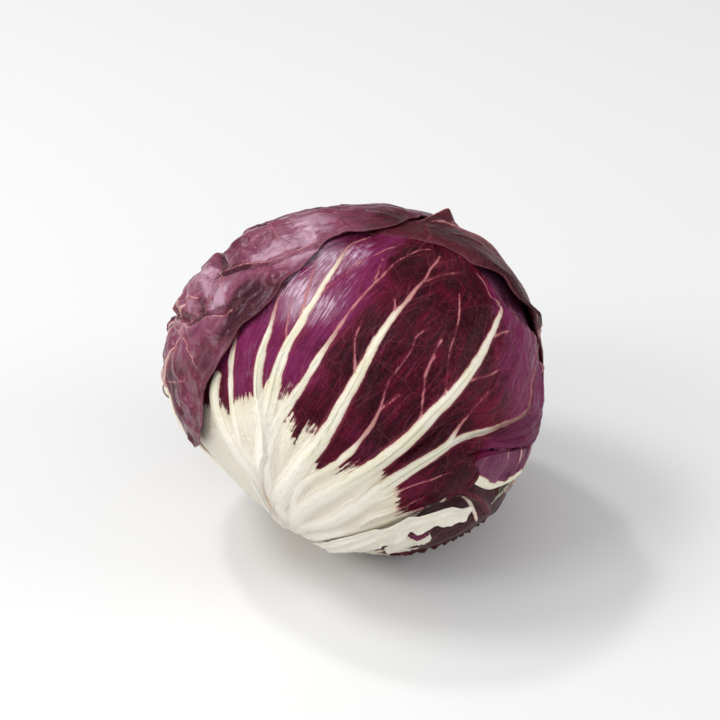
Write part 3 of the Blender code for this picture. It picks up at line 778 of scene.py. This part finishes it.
def front_design(D, t, p, edge, air):
    P = D * 56.0
    sdf, ridge, thin, axis = front_lines.field(D)
    ridge = np.maximum(ridge, front_fine.field(D)[1])
    sdf = sdf + 0.30 * fbm(P / 3.2, 2, 31) * smooth((sdf + 2.0) / 1.5)
    u = rib_coordinate(t, p, MAIN)
    base = cream_reach(p, [(-40, 64)] + FRONT_CREAM + [(100, 78), (130, 80)]) - t
    away = np.clip(-sdf, 0, 12)
    # blade between the ribs bulges a little; fine folds run with the ribs
    pillow = 0.55 * smooth(away / 4.5) * smooth((t - 55) / 25.0)
    q = np.stack([u * 3.2, t * 0.035, np.zeros_like(u)], 1)
    calm = smooth((t - 52) / 30) * smooth((152 - t) / 25)
    fold = 0.55 * fbm(q, 3, 5) * calm
    q2 = np.stack([u * 1.1, t * 0.03, np.zeros_like(u) + 4], 1)
    fold += 0.45 * fbm(q2, 2, 9) * calm + 0.30 * fbm(P / 7.0, 3, 14) * smooth((t - 120) / 30)
    q3 = np.stack([u * 7.5, t * 0.05, np.zeros_like(u) + 8], 1)
    fold += 0.26 * fbm(q3, 2, 17) * calm
    slit, cut, _, _ = front_creases.field(D)
    f1, f2 = cells(P / 4.2, 3)
    quilt = 0.08 * smooth((f2 - f1) / 0.5) * smooth(away / 2.0)
    # deep grooves where the ribs gather at the base
    gather = -0.75 * smooth(away / 1.3) * smooth((82 - t) / 22.0)
    high = (ridge + pillow + fold + quilt + gather - cut) * 0.001
    low = np.zeros(len(D))
    tone = 0.8 * fbm(P / 14.0, 3, 21) - 0.45 + 1.6 * smooth((40 - p) / 34.0) * smooth((t - 66) / 20) + 1.3 * smooth((p - 72) / 26.0) * (0.15 + 0.85 * smooth((t - 86) / 10.0))
    # painted shade: the tone drops along the deep slit folds
    tone = tone - 1.2 * smooth((slit - 0.2) / 1.0)
    # painted highlight and sheen: these terms raise the tone where the highlight colour goes, on the upper left and the
    # far right
    tone = tone + 0.35 * smooth((p - 92) / 14.0) * smooth((t - 98) / 8.0)
    tone = tone + 1.7 * gaussian(D, 124, 4, 15) + 1.2 * gaussian(D, 115, 24, 6) + 0.9 * gaussian(D, 108, 12, 9)
    st = np.stack([u, t, np.zeros_like(u)], 1)
    stain = np.clip(front_stain.field(D)[1], 0, 1)
    return low, high, {"stain": stain, "rib": sdf, "base": base, "thin": thin, "tone": tone, "st": st, "rel": ridge + gather, "axis": axis}


def fan(centre, half, tip, seed, ribs=4, start=15.0, scale=1.0):
    """A fan of ribs for a leaf: the midrib and side ribs with branches."""
    rng = np.random.default_rng(seed)
    lines, main = Lines(), []
    for k in range(-ribs, ribs + 1):
        share = k / ribs
        reach = tip - 6 - 38 * abs(share) ** 1.6 + rng.uniform(-5, 5)
        spread = half * 0.86 * share * (1 + rng.uniform(-0.06, 0.06))
        s = np.linspace(0, 1, 9)
        th = start + (reach - start) * s
        ph = centre + spread * (0.42 + 0.58 * s ** 1.35) + np.cumsum(rng.uniform(-1.1, 1.1, 9)) * s
        ph[0] = centre + spread * 0.36
        w0 = 3.2 - 1.0 * abs(share)
        w = (w0 * (1 - s) ** 1.15 + 0.22) * scale
        pts = [(a, b, c) for a, b, c in zip(th, ph, w)]
        main.append(np.array(pts))
        lines.add(pts, groove=0.2 if abs(k) < 2 else 0.0)
        for j in range(3, 8):
            for sgn in (-1, 1):
                if rng.random() < 0.45:
                    continue
                t0, p0, ww = th[j], ph[j], w[j] * 0.45
                length = rng.uniform(10, 22)
                a = math.radians(rng.uniform(24, 42)) * sgn
                pts2 = []
                for m in range(5):
                    q = m / 4
                    bend = a * (1 - 0.35 * q)
                    tt = t0 + length * q * math.cos(bend)
                    pp = p0 + length * q * math.sin(bend) / max(0.35, math.sin(math.radians(min(tt, 165))))
                    pts2.append((tt, pp, ww * (1 - q) + 0.08))
                lines.add(pts2)
    main.sort(key=lambda r: r[4, 1])
    return lines, main


def fan_design(centre, half, tip, seed, cream=64.0, wrinkle=1.0, extra=None, scale=0.8):
    lines, main = fan(centre, half, tip, seed, scale=scale)

    def design(D, t, p, edge, air):
        p = (p - centre + 180) % 360 - 180 + centre
        P = D * 56.0
        sdf, ridge, thin, axis = lines.field(D)
        u = rib_coordinate(t, p, main)
        base = cream + 5 * noise(np.stack([u * 1.7, np.zeros_like(u), np.zeros_like(u)], 1), seed) - t
        away = np.clip(-sdf, 0, 12)
        pillow = 0.5 * smooth(away / 4.5) * smooth((t - 50) / 25.0)
        q = np.stack([u * 2.6, t * 0.035, np.zeros_like(u)], 1)
        fold = 0.28 * fbm(q, 3, seed + 5) * smooth((t - 45) / 25) * smooth((148 - t) / 25)
        f1, f2 = cells(P / 4.5 + seed, seed)
        quilt = (0.10 + 0.06 * wrinkle) * smooth((f2 - f1) / 0.5) * smooth(away / 2.0)
        crumple = 0.55 * wrinkle * fbm(P / 9.0 + 3.7 * seed, 3, seed + 8) * smooth((t - 50) / 30)
        gather = -0.4 * smooth(away / 1.5) * smooth((78 - t) / 25.0)
        high = (ridge + pillow + fold + quilt + gather) * 0.001 * (0.3 + 0.7 * air)
        low = (crumple * 0.001 + 0.0004 * wrinkle) * air
        tone = fbm(P / 13.0 + seed, 3, seed + 21)
        at = {"rib": sdf, "base": base, "thin": thin, "tone": tone, "st": np.stack([u, t, np.full_like(u, seed * 7.0)], 1), "rel": ridge + gather, "axis": axis}
        if extra is not None:
            low, high, at = extra(D, t, p, edge, air, low, high, at)
        return low, high, at
    return design


# ----------------------------------------------------------------- finishes
wine = leaf_material("wine_leaf", deep=(0.022, 0.0005, 0.0034), mid=(0.130, 0.0016, 0.020), violet=(0.190, 0.022, 0.110), net=0.13,
                     gloss=0.25, violet_share=0.80, quilt=0.20, specular=0.13, pink=(0.40, 0.09, 0.12), bump=1.5, painted_highlight=0.95, highlight_tone=(0.76, 0.58, 0.70))
plum = leaf_material("plum_leaf", deep=(0.080, 0.011, 0.042), mid=(0.180, 0.038, 0.095), violet=(0.25, 0.085, 0.175), net=0.14,
                     gloss=0.36, violet_share=0.6, quilt=0.20, specular=0.25, pink=(0.45, 0.18, 0.22))
rose = leaf_material("rose_leaf", deep=(0.036, 0.003, 0.010), mid=(0.135, 0.017, 0.040), violet=(0.250, 0.070, 0.140), net=0.18,
                     gloss=0.22, violet_share=0.55, quilt=0.10, bloom=0.12, pink=(0.36, 0.12, 0.14), streak=0.25, specular=0.32,
                     tint=(1.0, 0.78, 0.92), vein_mix=0.70, painted_highlight=0.60, highlight_tone=(0.56, 0.38, 0.48))
maroon = leaf_material("maroon_leaf", deep=(0.024, 0.0012, 0.0036), mid=(0.078, 0.0048, 0.013), violet=(0.12, 0.018, 0.034), net=0.20,
                       gloss=0.32, violet_share=0.35, quilt=0.25, pink=(0.38, 0.12, 0.14), streak=0.5, specular=0.22)


# ------------------------------------------------------------ outer leaves
def gaussian(D, t, p, width):
    a = np.degrees(np.arccos(np.clip(D @ direction(t, p), -1, 1)))
    return np.exp(-(a / width) ** 2)


# torn leaf bases, cream stubs of leaves that were pulled off
stub_up = Ribbon([(26, 70), (40, 68), (50, 69.5), (58, 72.5), (64, 75.5), (68.5, 78.5), (72, 81.8), (76.3, 87.5), (78.2, 92), (79.4, 98)],
                 [(28, 90), (42, 85), (50, 84.5), (55.4, 84.6), (60.2, 86.3), (64.1, 87.2), (67.2, 89.2), (70.5, 93.4), (74.5, 99.5)], 0.26, 4)
stub_lo = Ribbon([(46, 95), (51, 91), (56, 89.5), (60, 89.8), (64, 91.5), (65.8, 94)],
                 [(42, 106), (46, 110), (49, 110), (52, 108), (56, 103), (59.9, 101), (63.9, 97.0)], 0.30, 9)

stub_lines = Lines()
stub_lines.add([(28, 81, 1.0), (44, 78, .9), (56, 79, .8), (66, 82.5, .6), (73, 89, .4), (77, 95, .2)], height=0.9, ridge=1.1)
stub_lines.add([(30, 73, .8), (44, 72, .7), (56, 74.5, .6), (64, 78, .4)], height=0.6, ridge=0.9)
stub_lines.add([(36, 104, 1.0), (46, 101, .8), (54, 96, .6), (61, 96, .3)], height=0.7, ridge=1.0)


def stub_design(seed):
    def design(D, t, p, edge, air):
        P = D * 56.0
        sdf, ridge, thin, axis = stub_lines.field(D)
        ruffle = 0.0013 * noise(P / 3.6 + seed, seed) * smooth((t - 46) / 14.0) * smooth(1 - edge / 4.0) + (seed == 3) * 0.0012 * smooth((t - 44) / 12) * smooth(1 - edge / 3.0)
        high = (ridge + 0.15 * fbm(P / 1.6, 3, seed)) * 0.001
        low = 0.0001 + 0.0006 * smooth((t - 52) / 16) + ruffle
        u = p / 10.0
        stain = gaussian(D, 62.0, 93.0, 3.4) * (seed == 6)
        return low, high, {"rib": np.maximum(sdf, 1.0) - 9 * stain, "base": 12.0 - 60.0 * stain, "thin": np.zeros(len(D)),
                           "tone": fbm(P / 9.0, 2, seed), "st": np.stack([u, t, np.full_like(u, seed)], 1), "rel": ridge, "axis": axis}
    return design


build_leaf("torn_base_upper", stub_up, stub_design(3), wine, n=97, nodes=("torn_leaf_base_upper",), seed=3)
build_leaf("torn_base_lower", stub_lo, stub_design(6), wine, n=97, nodes=("torn_leaf_base_lower",), seed=6)

# leaf under the head
under = Leaf([(15, 130), (15, 180), (15, 228), (40, 232), (70, 236), (100, 234), (125, 226), (142, 208), (150, 180), (142, 152), (125, 146), (100, 142), (70, 140), (40, 136)], (82, 180), 2.0).frill(0.25, 0.8, 8)
build_leaf("under_side_leaf", under, fan_design(180, 56, 150, 31, cream=30, wrinkle=0.5, scale=0.35), maroon, n=181,
           nodes=("under_leaf",))

# left wrapper: dusty rose, folded and wrinkled
rose_outline = ([(40, -118), (15, -112), (14, -84), (15, -58), (34, -50), (47, -38), (45.5, -24)] + EDGE_B[:3] + EDGE_B[4:]
                + [(158, 2), (168, -20), (174, -63), (170, -110), (150, -124), (120, -126), (90, -126), (74, -122)])
rose_leaf = Leaf(rose_outline, (95, -60), 1.5)
rose_folds = Lines()
for key, w, h, r in (('b_v1', .16, .5, .8), ('b_v2', .17, .45, .8), ('b_v3', .14, .35, .7), ('b_v4', .20, .45, .8), ('b_v5', .12, .35, .7),
                     ('b_v6', .12, .3, .6), ('b_cross', .14, .4, .7), ('b_v_low1', .18, .5, .8), ('b_v_low2', .16, .45, .8), ('b_rim', .35, .5, .8)):
    rose_folds.add([(a, b, 0.72 * w) for a, b in LINES[key]], height=0.7 * h, ridge=r)
rose_folds.add([(a, b, .16) for a, b in LINES['b_crease']], height=0.9, ridge=0.9)
rose_folds.add([(a, b, .16) for a, b in LINES['b_knot']], height=0.6, ridge=0.8)
rose_valleys = Lines()
rose_valleys.add([(a - 2.2, b - 0.6, .5) for a, b in LINES['b_crease']], height=3.2, ridge=1.6)
rose_valleys.add([(a + 2.2, b, .5) for a, b in LINES['b_knot']], height=2.4, ridge=1.5)
rose_valleys.add([(a, b, .5) for a, b in LINES['b_fold_b']], height=2.6, ridge=1.7)
rose_valleys.add([(86, -8, .4), (91, -5, .5), (97, -5.5, .5), (103, -4.5, .5), (109, -2.5, .4)], height=[0.2, 1.6, 2.2, 1.8, 0.2], ridge=1.6)
rose_valleys.add([(75, -27, .4), (66, -23, .4), (56, -20, .4)], height=[0.4, 1.2, 0.4], ridge=1.6)
rose_valleys.add([(a, b, .5) for a, b in LINES['b_fold_a']], height=1.6, ridge=2.2)


PUFFS = ((115, -34, 14, 2.6), (99, -38, 11, 2.6), (132, -32, 14, 2.0), (87, -46, 9, 2.2), (74, -32, 13, 1.6), (104, -14, 10, 1.7),
         (121, -9, 12, 1.2), (90, -12, 9, 1.5), (72, -12, 9, 1.2), (60, -16, 10, 1.2), (82, -26, 8, 1.3), (147, -22, 12, 1.3), (112, -56, 16, 1.8),
         (90, -66, 15, 1.8), (130, -60, 16, 1.6), (70, -55, 14, 1.6), (150, -50, 15, 1.4), (105, -85, 18, 1.6), (140, -90, 18, 1.6), (80, -95, 17, 1.5))


def puffs(D, table):
    """Rounded swellings that meet in creases (mm)."""
    top = np.zeros(len(D))
    for t, p, w, h in table:
        a = np.degrees(np.arccos(np.clip(D @ direction(t, p), -1, 1)))
        top = np.maximum(top, h * np.clip(1 - (a / w) ** 2, 0, 1) ** 0.7)
    return top


def rose_extra(D, t, p, edge, air, low, high, at):
    s, r, th, ax = rose_folds.field(D)
    sv, rv, _, _ = rose_valleys.field(D)
    P = D * 56.0
    crumple = 0.40 * fbm(P / 8.0, 2, 77) + 0.05 * fbm(P / 2.4, 2, 78)
    curl = 0.9 * smooth(1 - edge / 6.0) * (0.6 + 0.8 * noise(np.stack([t / 9.0, p / 9.0, t * 0], 1), 5))
    curl = curl * (1 - smooth((t - 100) / 12)) - 1.1 * smooth(1 - edge / 9.0) * smooth((t - 104) / 12)
    low = 0.4 * low + (puffs(D + 0.03 * np.stack([noise(P / 4.0, 41), noise(P / 4.0, 42), noise(P / 4.0, 43)], 1), PUFFS)
                       - 0.9 * np.clip(rv, 0, 3.0) + crumple + curl * (p > -30) - 0.2) * 0.001
    low = np.maximum(low, -0.0007) + 0.0004
    high = high + r * 0.001
    at["rib"] = np.where(t > 62, np.maximum(np.where(t > 90, -3.0, at["rib"] - 0.6 * smooth((t - 62) / 20)), s), at["rib"])
    at["axis"] = np.full(len(D), 1.0)
    at["thin"] = np.where((t > 64) & (at["base"] < -2), 1.0, 0.0)
    # painted shade and painted highlight: the tone drops in the fold valleys and at the dark margin fold, and rises at
    # the highlight spots
    at["tone"] = at["tone"] - 3.2 * gaussian(D, 99, -3.5, 8) - 2.2 * smooth((rv - 0.35) / 1.2) + 0.9 * gaussian(D, 118, -30, 22) + 0.7 * gaussian(D, 84, -30, 12) \
        + 2.4 * gaussian(D, 97, -31, 9) + 2.8 * gaussian(D, 125, -7, 8) + 2.0 * gaussian(D, 114, -13, 7) + 3.2 * gaussian(D, 96.5, -13, 7) + 1.6 * gaussian(D, 86, -24, 6) + 1.2 * gaussian(D, 134, -22, 9)
    return low, high, at


build_leaf("left_rose_leaf", rose_leaf, fan_design(-63, 63, 174, 41, cream=48, wrinkle=1.0, extra=rose_extra), rose, n=293,
           nodes=("left_wrapper_leaf",))

# crown wrapper: dark maroon, its far margin lifted like a collar
crown_outline = ([(15, 128), (15, 168), (15, 206), (40, 224), (70, 230), (100, 230), (130, 228), (155, 228), (158, 260), (152, 300), (147, 335), (147, 356)]
                 + EDGE_C[1:] + [(138, 132), (130, 142), (112, 148), (90, 148), (65, 142), (40, 132)])
crown_leaf = Leaf(crown_outline, (112, 168), 1.5)


crown_folds = Lines()
crown_folds.add([(168, -4, .10), (172.5, -30, .16), (174.6, -75, .30), (174.6, -118, .34), (172.4, -140, .12)], height=[0.1, 0.4, 0.6, 0.6, 0.2], ridge=0.6)
crown_folds.add([(170, 60, .08), (171, 88, .14), (167, 112, .10)], height=0.35, ridge=0.6)
crown_folds.add([(158, 40, .08), (163, 30, .12), (168, 12, .08)], height=0.3, ridge=0.6)


def crown_extra(D, t, p, edge, air, low, high, at):
    P = D * 56.0
    q = (p + 360) % 360
    flap = smooth((t - 128) / 14.0) * smooth((q - 74) / 22.0) * smooth((160 - q) / 25.0) * smooth(1 - edge / 16.0)
    top = smooth(1 - edge / 6.0) * (1 - smooth((q - 90) / 30.0) * smooth((200 - q) / 30.0))
    low = 0.5 * low + 0.0024 * flap - 0.0008 * top * (1 + 0.4 * noise(P / 5.0, 12))
    a1 = np.degrees(np.arccos(np.clip(D @ direction(174.8, -118), -1, 1)))
    low = low + 0.0048 * np.exp(-(a1 / 3.6) ** 1.7) + 0.0014 * gaussian(D, 176.5, -40, 3.0) + 0.0016 * gaussian(D, 166, 160, 7) + 0.0010 * gaussian(D, 150, 120, 9)
    s, r, th, ax = crown_folds.field(D)
    high = high + r * 0.001
    at["rib"] = np.maximum(at["rib"], s)
    at["thin"] = np.where(s > -0.4, 1.0, at["thin"])
    # painted shade: the tone drops where the collar lifts off the head
    at["tone"] = at["tone"] - 1.5 * flap
    return low, high, at


build_leaf("crown_leaf", crown_leaf, fan_design(168, 62, 196, 52, cream=60, wrinkle=0.8, extra=crown_extra), maroon, n=281,
           nodes=("crown_wrapper_leaf",))

# back leaf
back = Leaf([(15, -168), (15, -128), (15, -90), (40, -68), (80, -66), (120, -68), (150, -80), (162, -110), (164, -140), (150, -170), (120, 172), (90, 170), (60, 172), (35, -178)], (90, -128), 2.0).frill(1.2, 5.0, 13)
build_leaf("back_leaf_fine", back, fan_design(-128, 62, 164, 63, cream=60, wrinkle=0.7), wine, n=181,
           nodes=("back_leaf",))

# the large ribbed leaf in front
build_leaf("front_ribbed_leaf", front, front_design, wine, n=305, nodes=("front_leaf",))

# right leaf: plum, with the torn cream lip at the lower right
right_outline = [(15, 84), (15, 122), (15, 158), (40, 176), (80, 182), (115, 182), (145, 172), (160, 150), (166, 120), (162, 86), (145, 66), (115, 58), (97, 70), (89.5, 86), (86.6, 91.5), (85.4, 97.0), (85.2, 103.4), (87.0, 108.0), (89.5, 112.0), (93.7, 116.5), (92, 124), (80, 128), (60, 122), (40, 100)]
right = Leaf(right_outline, (118, 122), 1.2)


def right_extra(D, t, p, edge, air, low, high, at):
    # the torn lip: a cream ragged strip along the margin under the front leaf
    P = D * 56.0
    lip = smooth((p - 84) / 4.0) * smooth((118 - p) / 4.0) * smooth((97 - t) / 4.0)
    strip = 2.5 * lip * (1 + 0.25 * noise(P / 2.4, 6)) * (1 + 0.5 * gaussian(D, 87, 97, 6)) - edge
    at["rib"] = np.where(lip > 0, np.maximum(at["rib"] - 2.0 * lip, np.where(strip > -1.5, strip, -3.0)), at["rib"])
    at["thin"] = at["thin"] * (1 - lip)
    low = low + 0.0018 * lip * smooth(1 - edge / 5.0) + 0.0014 * gaussian(D, 92.5, 100, 5)
    low = low + 0.0024 * gaussian(D, 124, 134.5, 2.3)
    at["tone"] = at["tone"] - 4.0 * gaussian(D, 124, 134.5, 2.6)
    return low, high, at


build_leaf("right_plum_leaf", right, fan_design(122, 62, 166, 74, cream=40, wrinkle=0.4, scale=0.4, extra=right_extra), plum, n=221,
           nodes=("right_leaf",))

curl_lines = Lines()
curl_lines.add([(76.0, 91.0, .3), (79.7, 94.1, .5), (81.1, 97.0, .6), (81.0, 101.9, .6), (78.9, 108.8, .5), (75.1, 116.1, .4)], height=[0.6, 1.8, 2.2, 2.2, 1.8, 0.8], ridge=1.3)
curl_stripe = Lines()
curl_stripe.add([(79.6, 96.5, .25), (78.6, 101, .55), (75.5, 107, .55), (72.5, 112, .25)], height=0.3, ridge=0.6)


def lower_extra(D, t, p, edge, air, low, high, at):
    # a rounded curl beside the torn base, over a hollow darkened with painted shade
    s, r, th, ax = curl_lines.field(D)
    s2, r2, th2, ax2 = curl_stripe.field(D)
    low = low + r * 0.001 - 0.0014 * gaussian(D, 84, 91, 5)
    low = low + 0.0021 * smooth((89.5 - t) / 8.0) * smooth((p - 92) / 10.0) * smooth((146 - p) / 18.0)
    low = low + 0.0012 * smooth((84 - t) / 9.0) * smooth((p - 100) / 10.0) * smooth((134 - p) / 12.0)
    high = 0.35 * high + r2 * 0.001
    at["rib"] = np.where(s2 > -0.5, s2, np.minimum(at["rib"], -2.0))
    at["thin"] = np.where(s2 > -0.5, 0.0, at["thin"])
    # painted shade: the tone drops in the hollow under the curl
    at["tone"] = at["tone"] - 3.0 * gaussian(D, 84.5, 92, 6) + 2.6 * smooth(r - 0.6) - 0.7
    return low, high, at


lower = Leaf([(15, 98), (15, 140), (15, 178), (40, 186), (80, 188), (115, 180), (134, 160), (138, 140), (132, 112), (115, 96), (95, 88), (80, 86), (66, 84), (50, 88), (30, 92)], (75, 136), 1.5).frill(0.25, 1.0, 15)
build_leaf("lower_right_fine", lower, fan_design(140, 48, 138, 85, cream=38, wrinkle=0.35, scale=0.16, extra=lower_extra), maroon, n=161, k=2, thickness=BLADE + 0.0004,
           nodes=("lower_right_leaf",))


# -------------------------------------------- carried-over nodes: finishes
def inner_material(name, deep, cream_share):
    g = Net(name)
    pos = g.position()
    blot = g.noise(pos, 90.0, 4.0, 0.6)
    vein = g.voronoi(g.wobble(pos, 190.0, 0.002), 240.0)
    # near the stem end the blade is cream
    dotn = g.node('ShaderNodeVectorMath', operation='DOT_PRODUCT')
    sub = g.node('ShaderNodeVectorMath', operation='SUBTRACT')
    g.put(sub.inputs[0], pos)
    sub.inputs[1].default_value = tuple(float(x) for x in C)
    g.put(dotn.inputs[0], sub.outputs[0])
    dotn.inputs[1].default_value = tuple(float(x) for x in S)
    m = g.step(g.add(dotn.outputs['Value'], g.mul(g.sub(blot, 0.5), 0.03)), 0.006, 0.020)
    c = g.mix(g.step(blot, 0.3, 0.7), deep, tuple(min(1, x * 2.2 + 0.01) for x in deep))
    c = g.mix(g.mul(g.step(vein, 0.06, 0.0), 0.35), c, (0.55, 0.30, 0.30))
    k = g.mix(g.step(blot, 0.35, 0.7), (0.78, 0.72, 0.56), (0.86, 0.82, 0.70))
    dist = g.node('ShaderNodeVectorMath', operation='LENGTH')
    g.put(dist.inputs[0], sub.outputs[0])
    # painted shade: near-black where the inner leaves reach out to the gaps between the outer leaves
    outer = g.step(g.add(dist.outputs['Value'], g.mul(g.sub(blot, 0.5), 0.006)), 0.040, 0.046)
    pale = g.mul(g.hi(m, cream_share), g.sub(1.0, g.mul(outer, g.sub(1.0, m))))
    c = g.mix(outer, c, (0.030, 0.0025, 0.007))
    color = g.mix(pale, c, k)
    normal = g.bump(g.add(g.step(vein, 0.0, 0.2), g.noise(pos, 600.0, 3.0, 0.6)), 0.4, 0.0003)
    return g.finish(color, g.add(g.mul(blot, 0.2), 0.35), normal, subsurface=0.08)


def core_material():
    g = Net("stem_core_finish")
    pos = g.position()
    n1 = g.noise(pos, 160.0, 5.0, 0.65)
    n2 = g.noise(pos, 700.0, 3.0, 0.6)
    c = g.mix(g.step(n1, 0.35, 0.65), (0.52, 0.38, 0.20), (0.74, 0.64, 0.44))
    c = g.mix(g.step(g.add(n1, g.mul(n2, 0.3)), 0.72, 0.85), c, (0.22, 0.11, 0.05))
    normal = g.bump(g.add(n1, g.mul(n2, 0.5)), 0.6, 0.0006)
    return g.finish(c, g.add(g.mul(n2, 0.2), 0.55), normal, specular=0.35)


dark_inner = inner_material("inner_leaf_dark", (0.05, 0.005, 0.015), 0.0)
pale_inner = inner_material("inner_leaf_pale", (0.20, 0.05, 0.08), 0.45)
core_finish = core_material()
for node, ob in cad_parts.items():
    if ob.hide_render:
        continue
    if node.startswith("inner_leaf"):
        mat = dark_inner if int(node[-2:]) <= 8 else pale_inner
    elif node == "heart_bud":
        mat = pale_inner
    else:
        mat = core_finish
    for s in ob.material_slots:
        s.material = mat

# ------------------------------------------------- floor, light and camera
floor_net = Net("floor_finish")
fpos = floor_net.position()
fcol = floor_net.mix(floor_net.noise(fpos, 3.0, 2.0, 0.5), (0.735, 0.735, 0.74), (0.75, 0.75, 0.75))
floor_mat = floor_net.finish(fcol, floor_net.add(floor_net.mul(floor_net.noise(fpos, 8.0, 2.0, 0.5), 0.05), 0.55),
                             floor_net.bump(floor_net.noise(fpos, 400.0, 2.0, 0.5), 0.02, 0.0002), specular=0.3)
fm = bpy.data.meshes.new("floor")
fm.from_pydata([(-4, -4, 0), (4, -4, 0), (4, 4, 0), (-4, 4, 0)], [], [(0, 1, 2, 3)])
fm.materials.append(floor_mat)
floor = bpy.data.objects.new("floor", fm)
bpy.context.scene.collection.objects.link(floor)

scene = bpy.context.scene
world = bpy.data.worlds.new("studio")
world.use_nodes = True
wt = world.node_tree
wt.nodes.clear()
way = wt.nodes.new('ShaderNodeTexCoord').outputs['Generated']


def facing(x, y, z, a, b, lo, hi):
    """Light level that rises smoothly towards one direction of the studio."""
    dot = wt.nodes.new('ShaderNodeVectorMath')
    dot.operation = 'DOT_PRODUCT'
    wt.links.new(way, dot.inputs[0])
    dot.inputs[1].default_value = Vector((x, y, z)).normalized()
    ramp = wt.nodes.new('ShaderNodeMapRange')
    ramp.interpolation_type = 'SMOOTHSTEP'
    wt.links.new(dot.outputs['Value'], ramp.inputs['Value'])
    for key, v in (('From Min', a), ('From Max', b), ('To Min', lo), ('To Max', hi)):
        ramp.inputs[key].default_value = v
    return ramp.outputs[0]


back = wt.nodes.new('ShaderNodeBackground')
back.inputs['Color'].default_value = (1.0, 1.0, 1.0, 1.0)
wt.links.new(facing(-0.30, -0.60, 0.74, -0.30, 0.75, 0.20, 0.82), back.inputs['Strength'])
wout = wt.nodes.new('ShaderNodeOutputWorld')
wt.links.new(back.outputs[0], wout.inputs[0])
scene.world = world
scene.view_settings.view_transform = 'Standard'
scene.view_settings.look = 'None'


def area_light(name, at, size, power, target=(0, 0, 0.05), colour=(1, 1, 1)):
    data = bpy.data.lights.new(name, 'AREA')
    data.shape = 'RECTANGLE'
    data.size, data.size_y = size
    data.energy = power
    data.color = colour
    ob = bpy.data.objects.new(name, data)
    ob.location = at
    ob.rotation_mode = 'QUATERNION'
    ob.rotation_quaternion = (Vector(target) - Vector(at)).to_track_quat('-Z', 'Y')
    scene.collection.objects.link(ob)
    return ob


area_light("key", (-0.66, 0.06, 0.98), (0.30, 0.30), 4.2)
area_light("sheen", (-0.42, 0.38, 1.05), (0.11, 0.11), 2.6)
area_light("left_front", (-0.78, -0.52, 0.80), (0.36, 0.36), 3.4)
area_light("right_fill", (1.00, -0.25, 0.55), (0.5, 0.5), 3.2)

E = math.radians(33.0)
forward = Vector((0, math.cos(E), -math.sin(E)))
upward = Vector((0, math.sin(E), math.cos(E)))
target = Vector((float(C[0]), float(C[1]), float(C[2]))) + upward * 0.0081175
cam_data = bpy.data.cameras.new("camera")
cam_data.lens, cam_data.sensor_width = 123.2, 36.0
cam_data.clip_start, cam_data.clip_end = 0.01, 50
cam = bpy.data.objects.new("camera", cam_data)
cam.location = target - forward * 0.8
cam.rotation_mode = 'QUATERNION'
cam.rotation_quaternion = forward.to_track_quat('-Z', 'Y')
scene.collection.objects.link(cam)
scene.camera = cam

print("TRIANGLES", sum(COUNT.values()), COUNT)
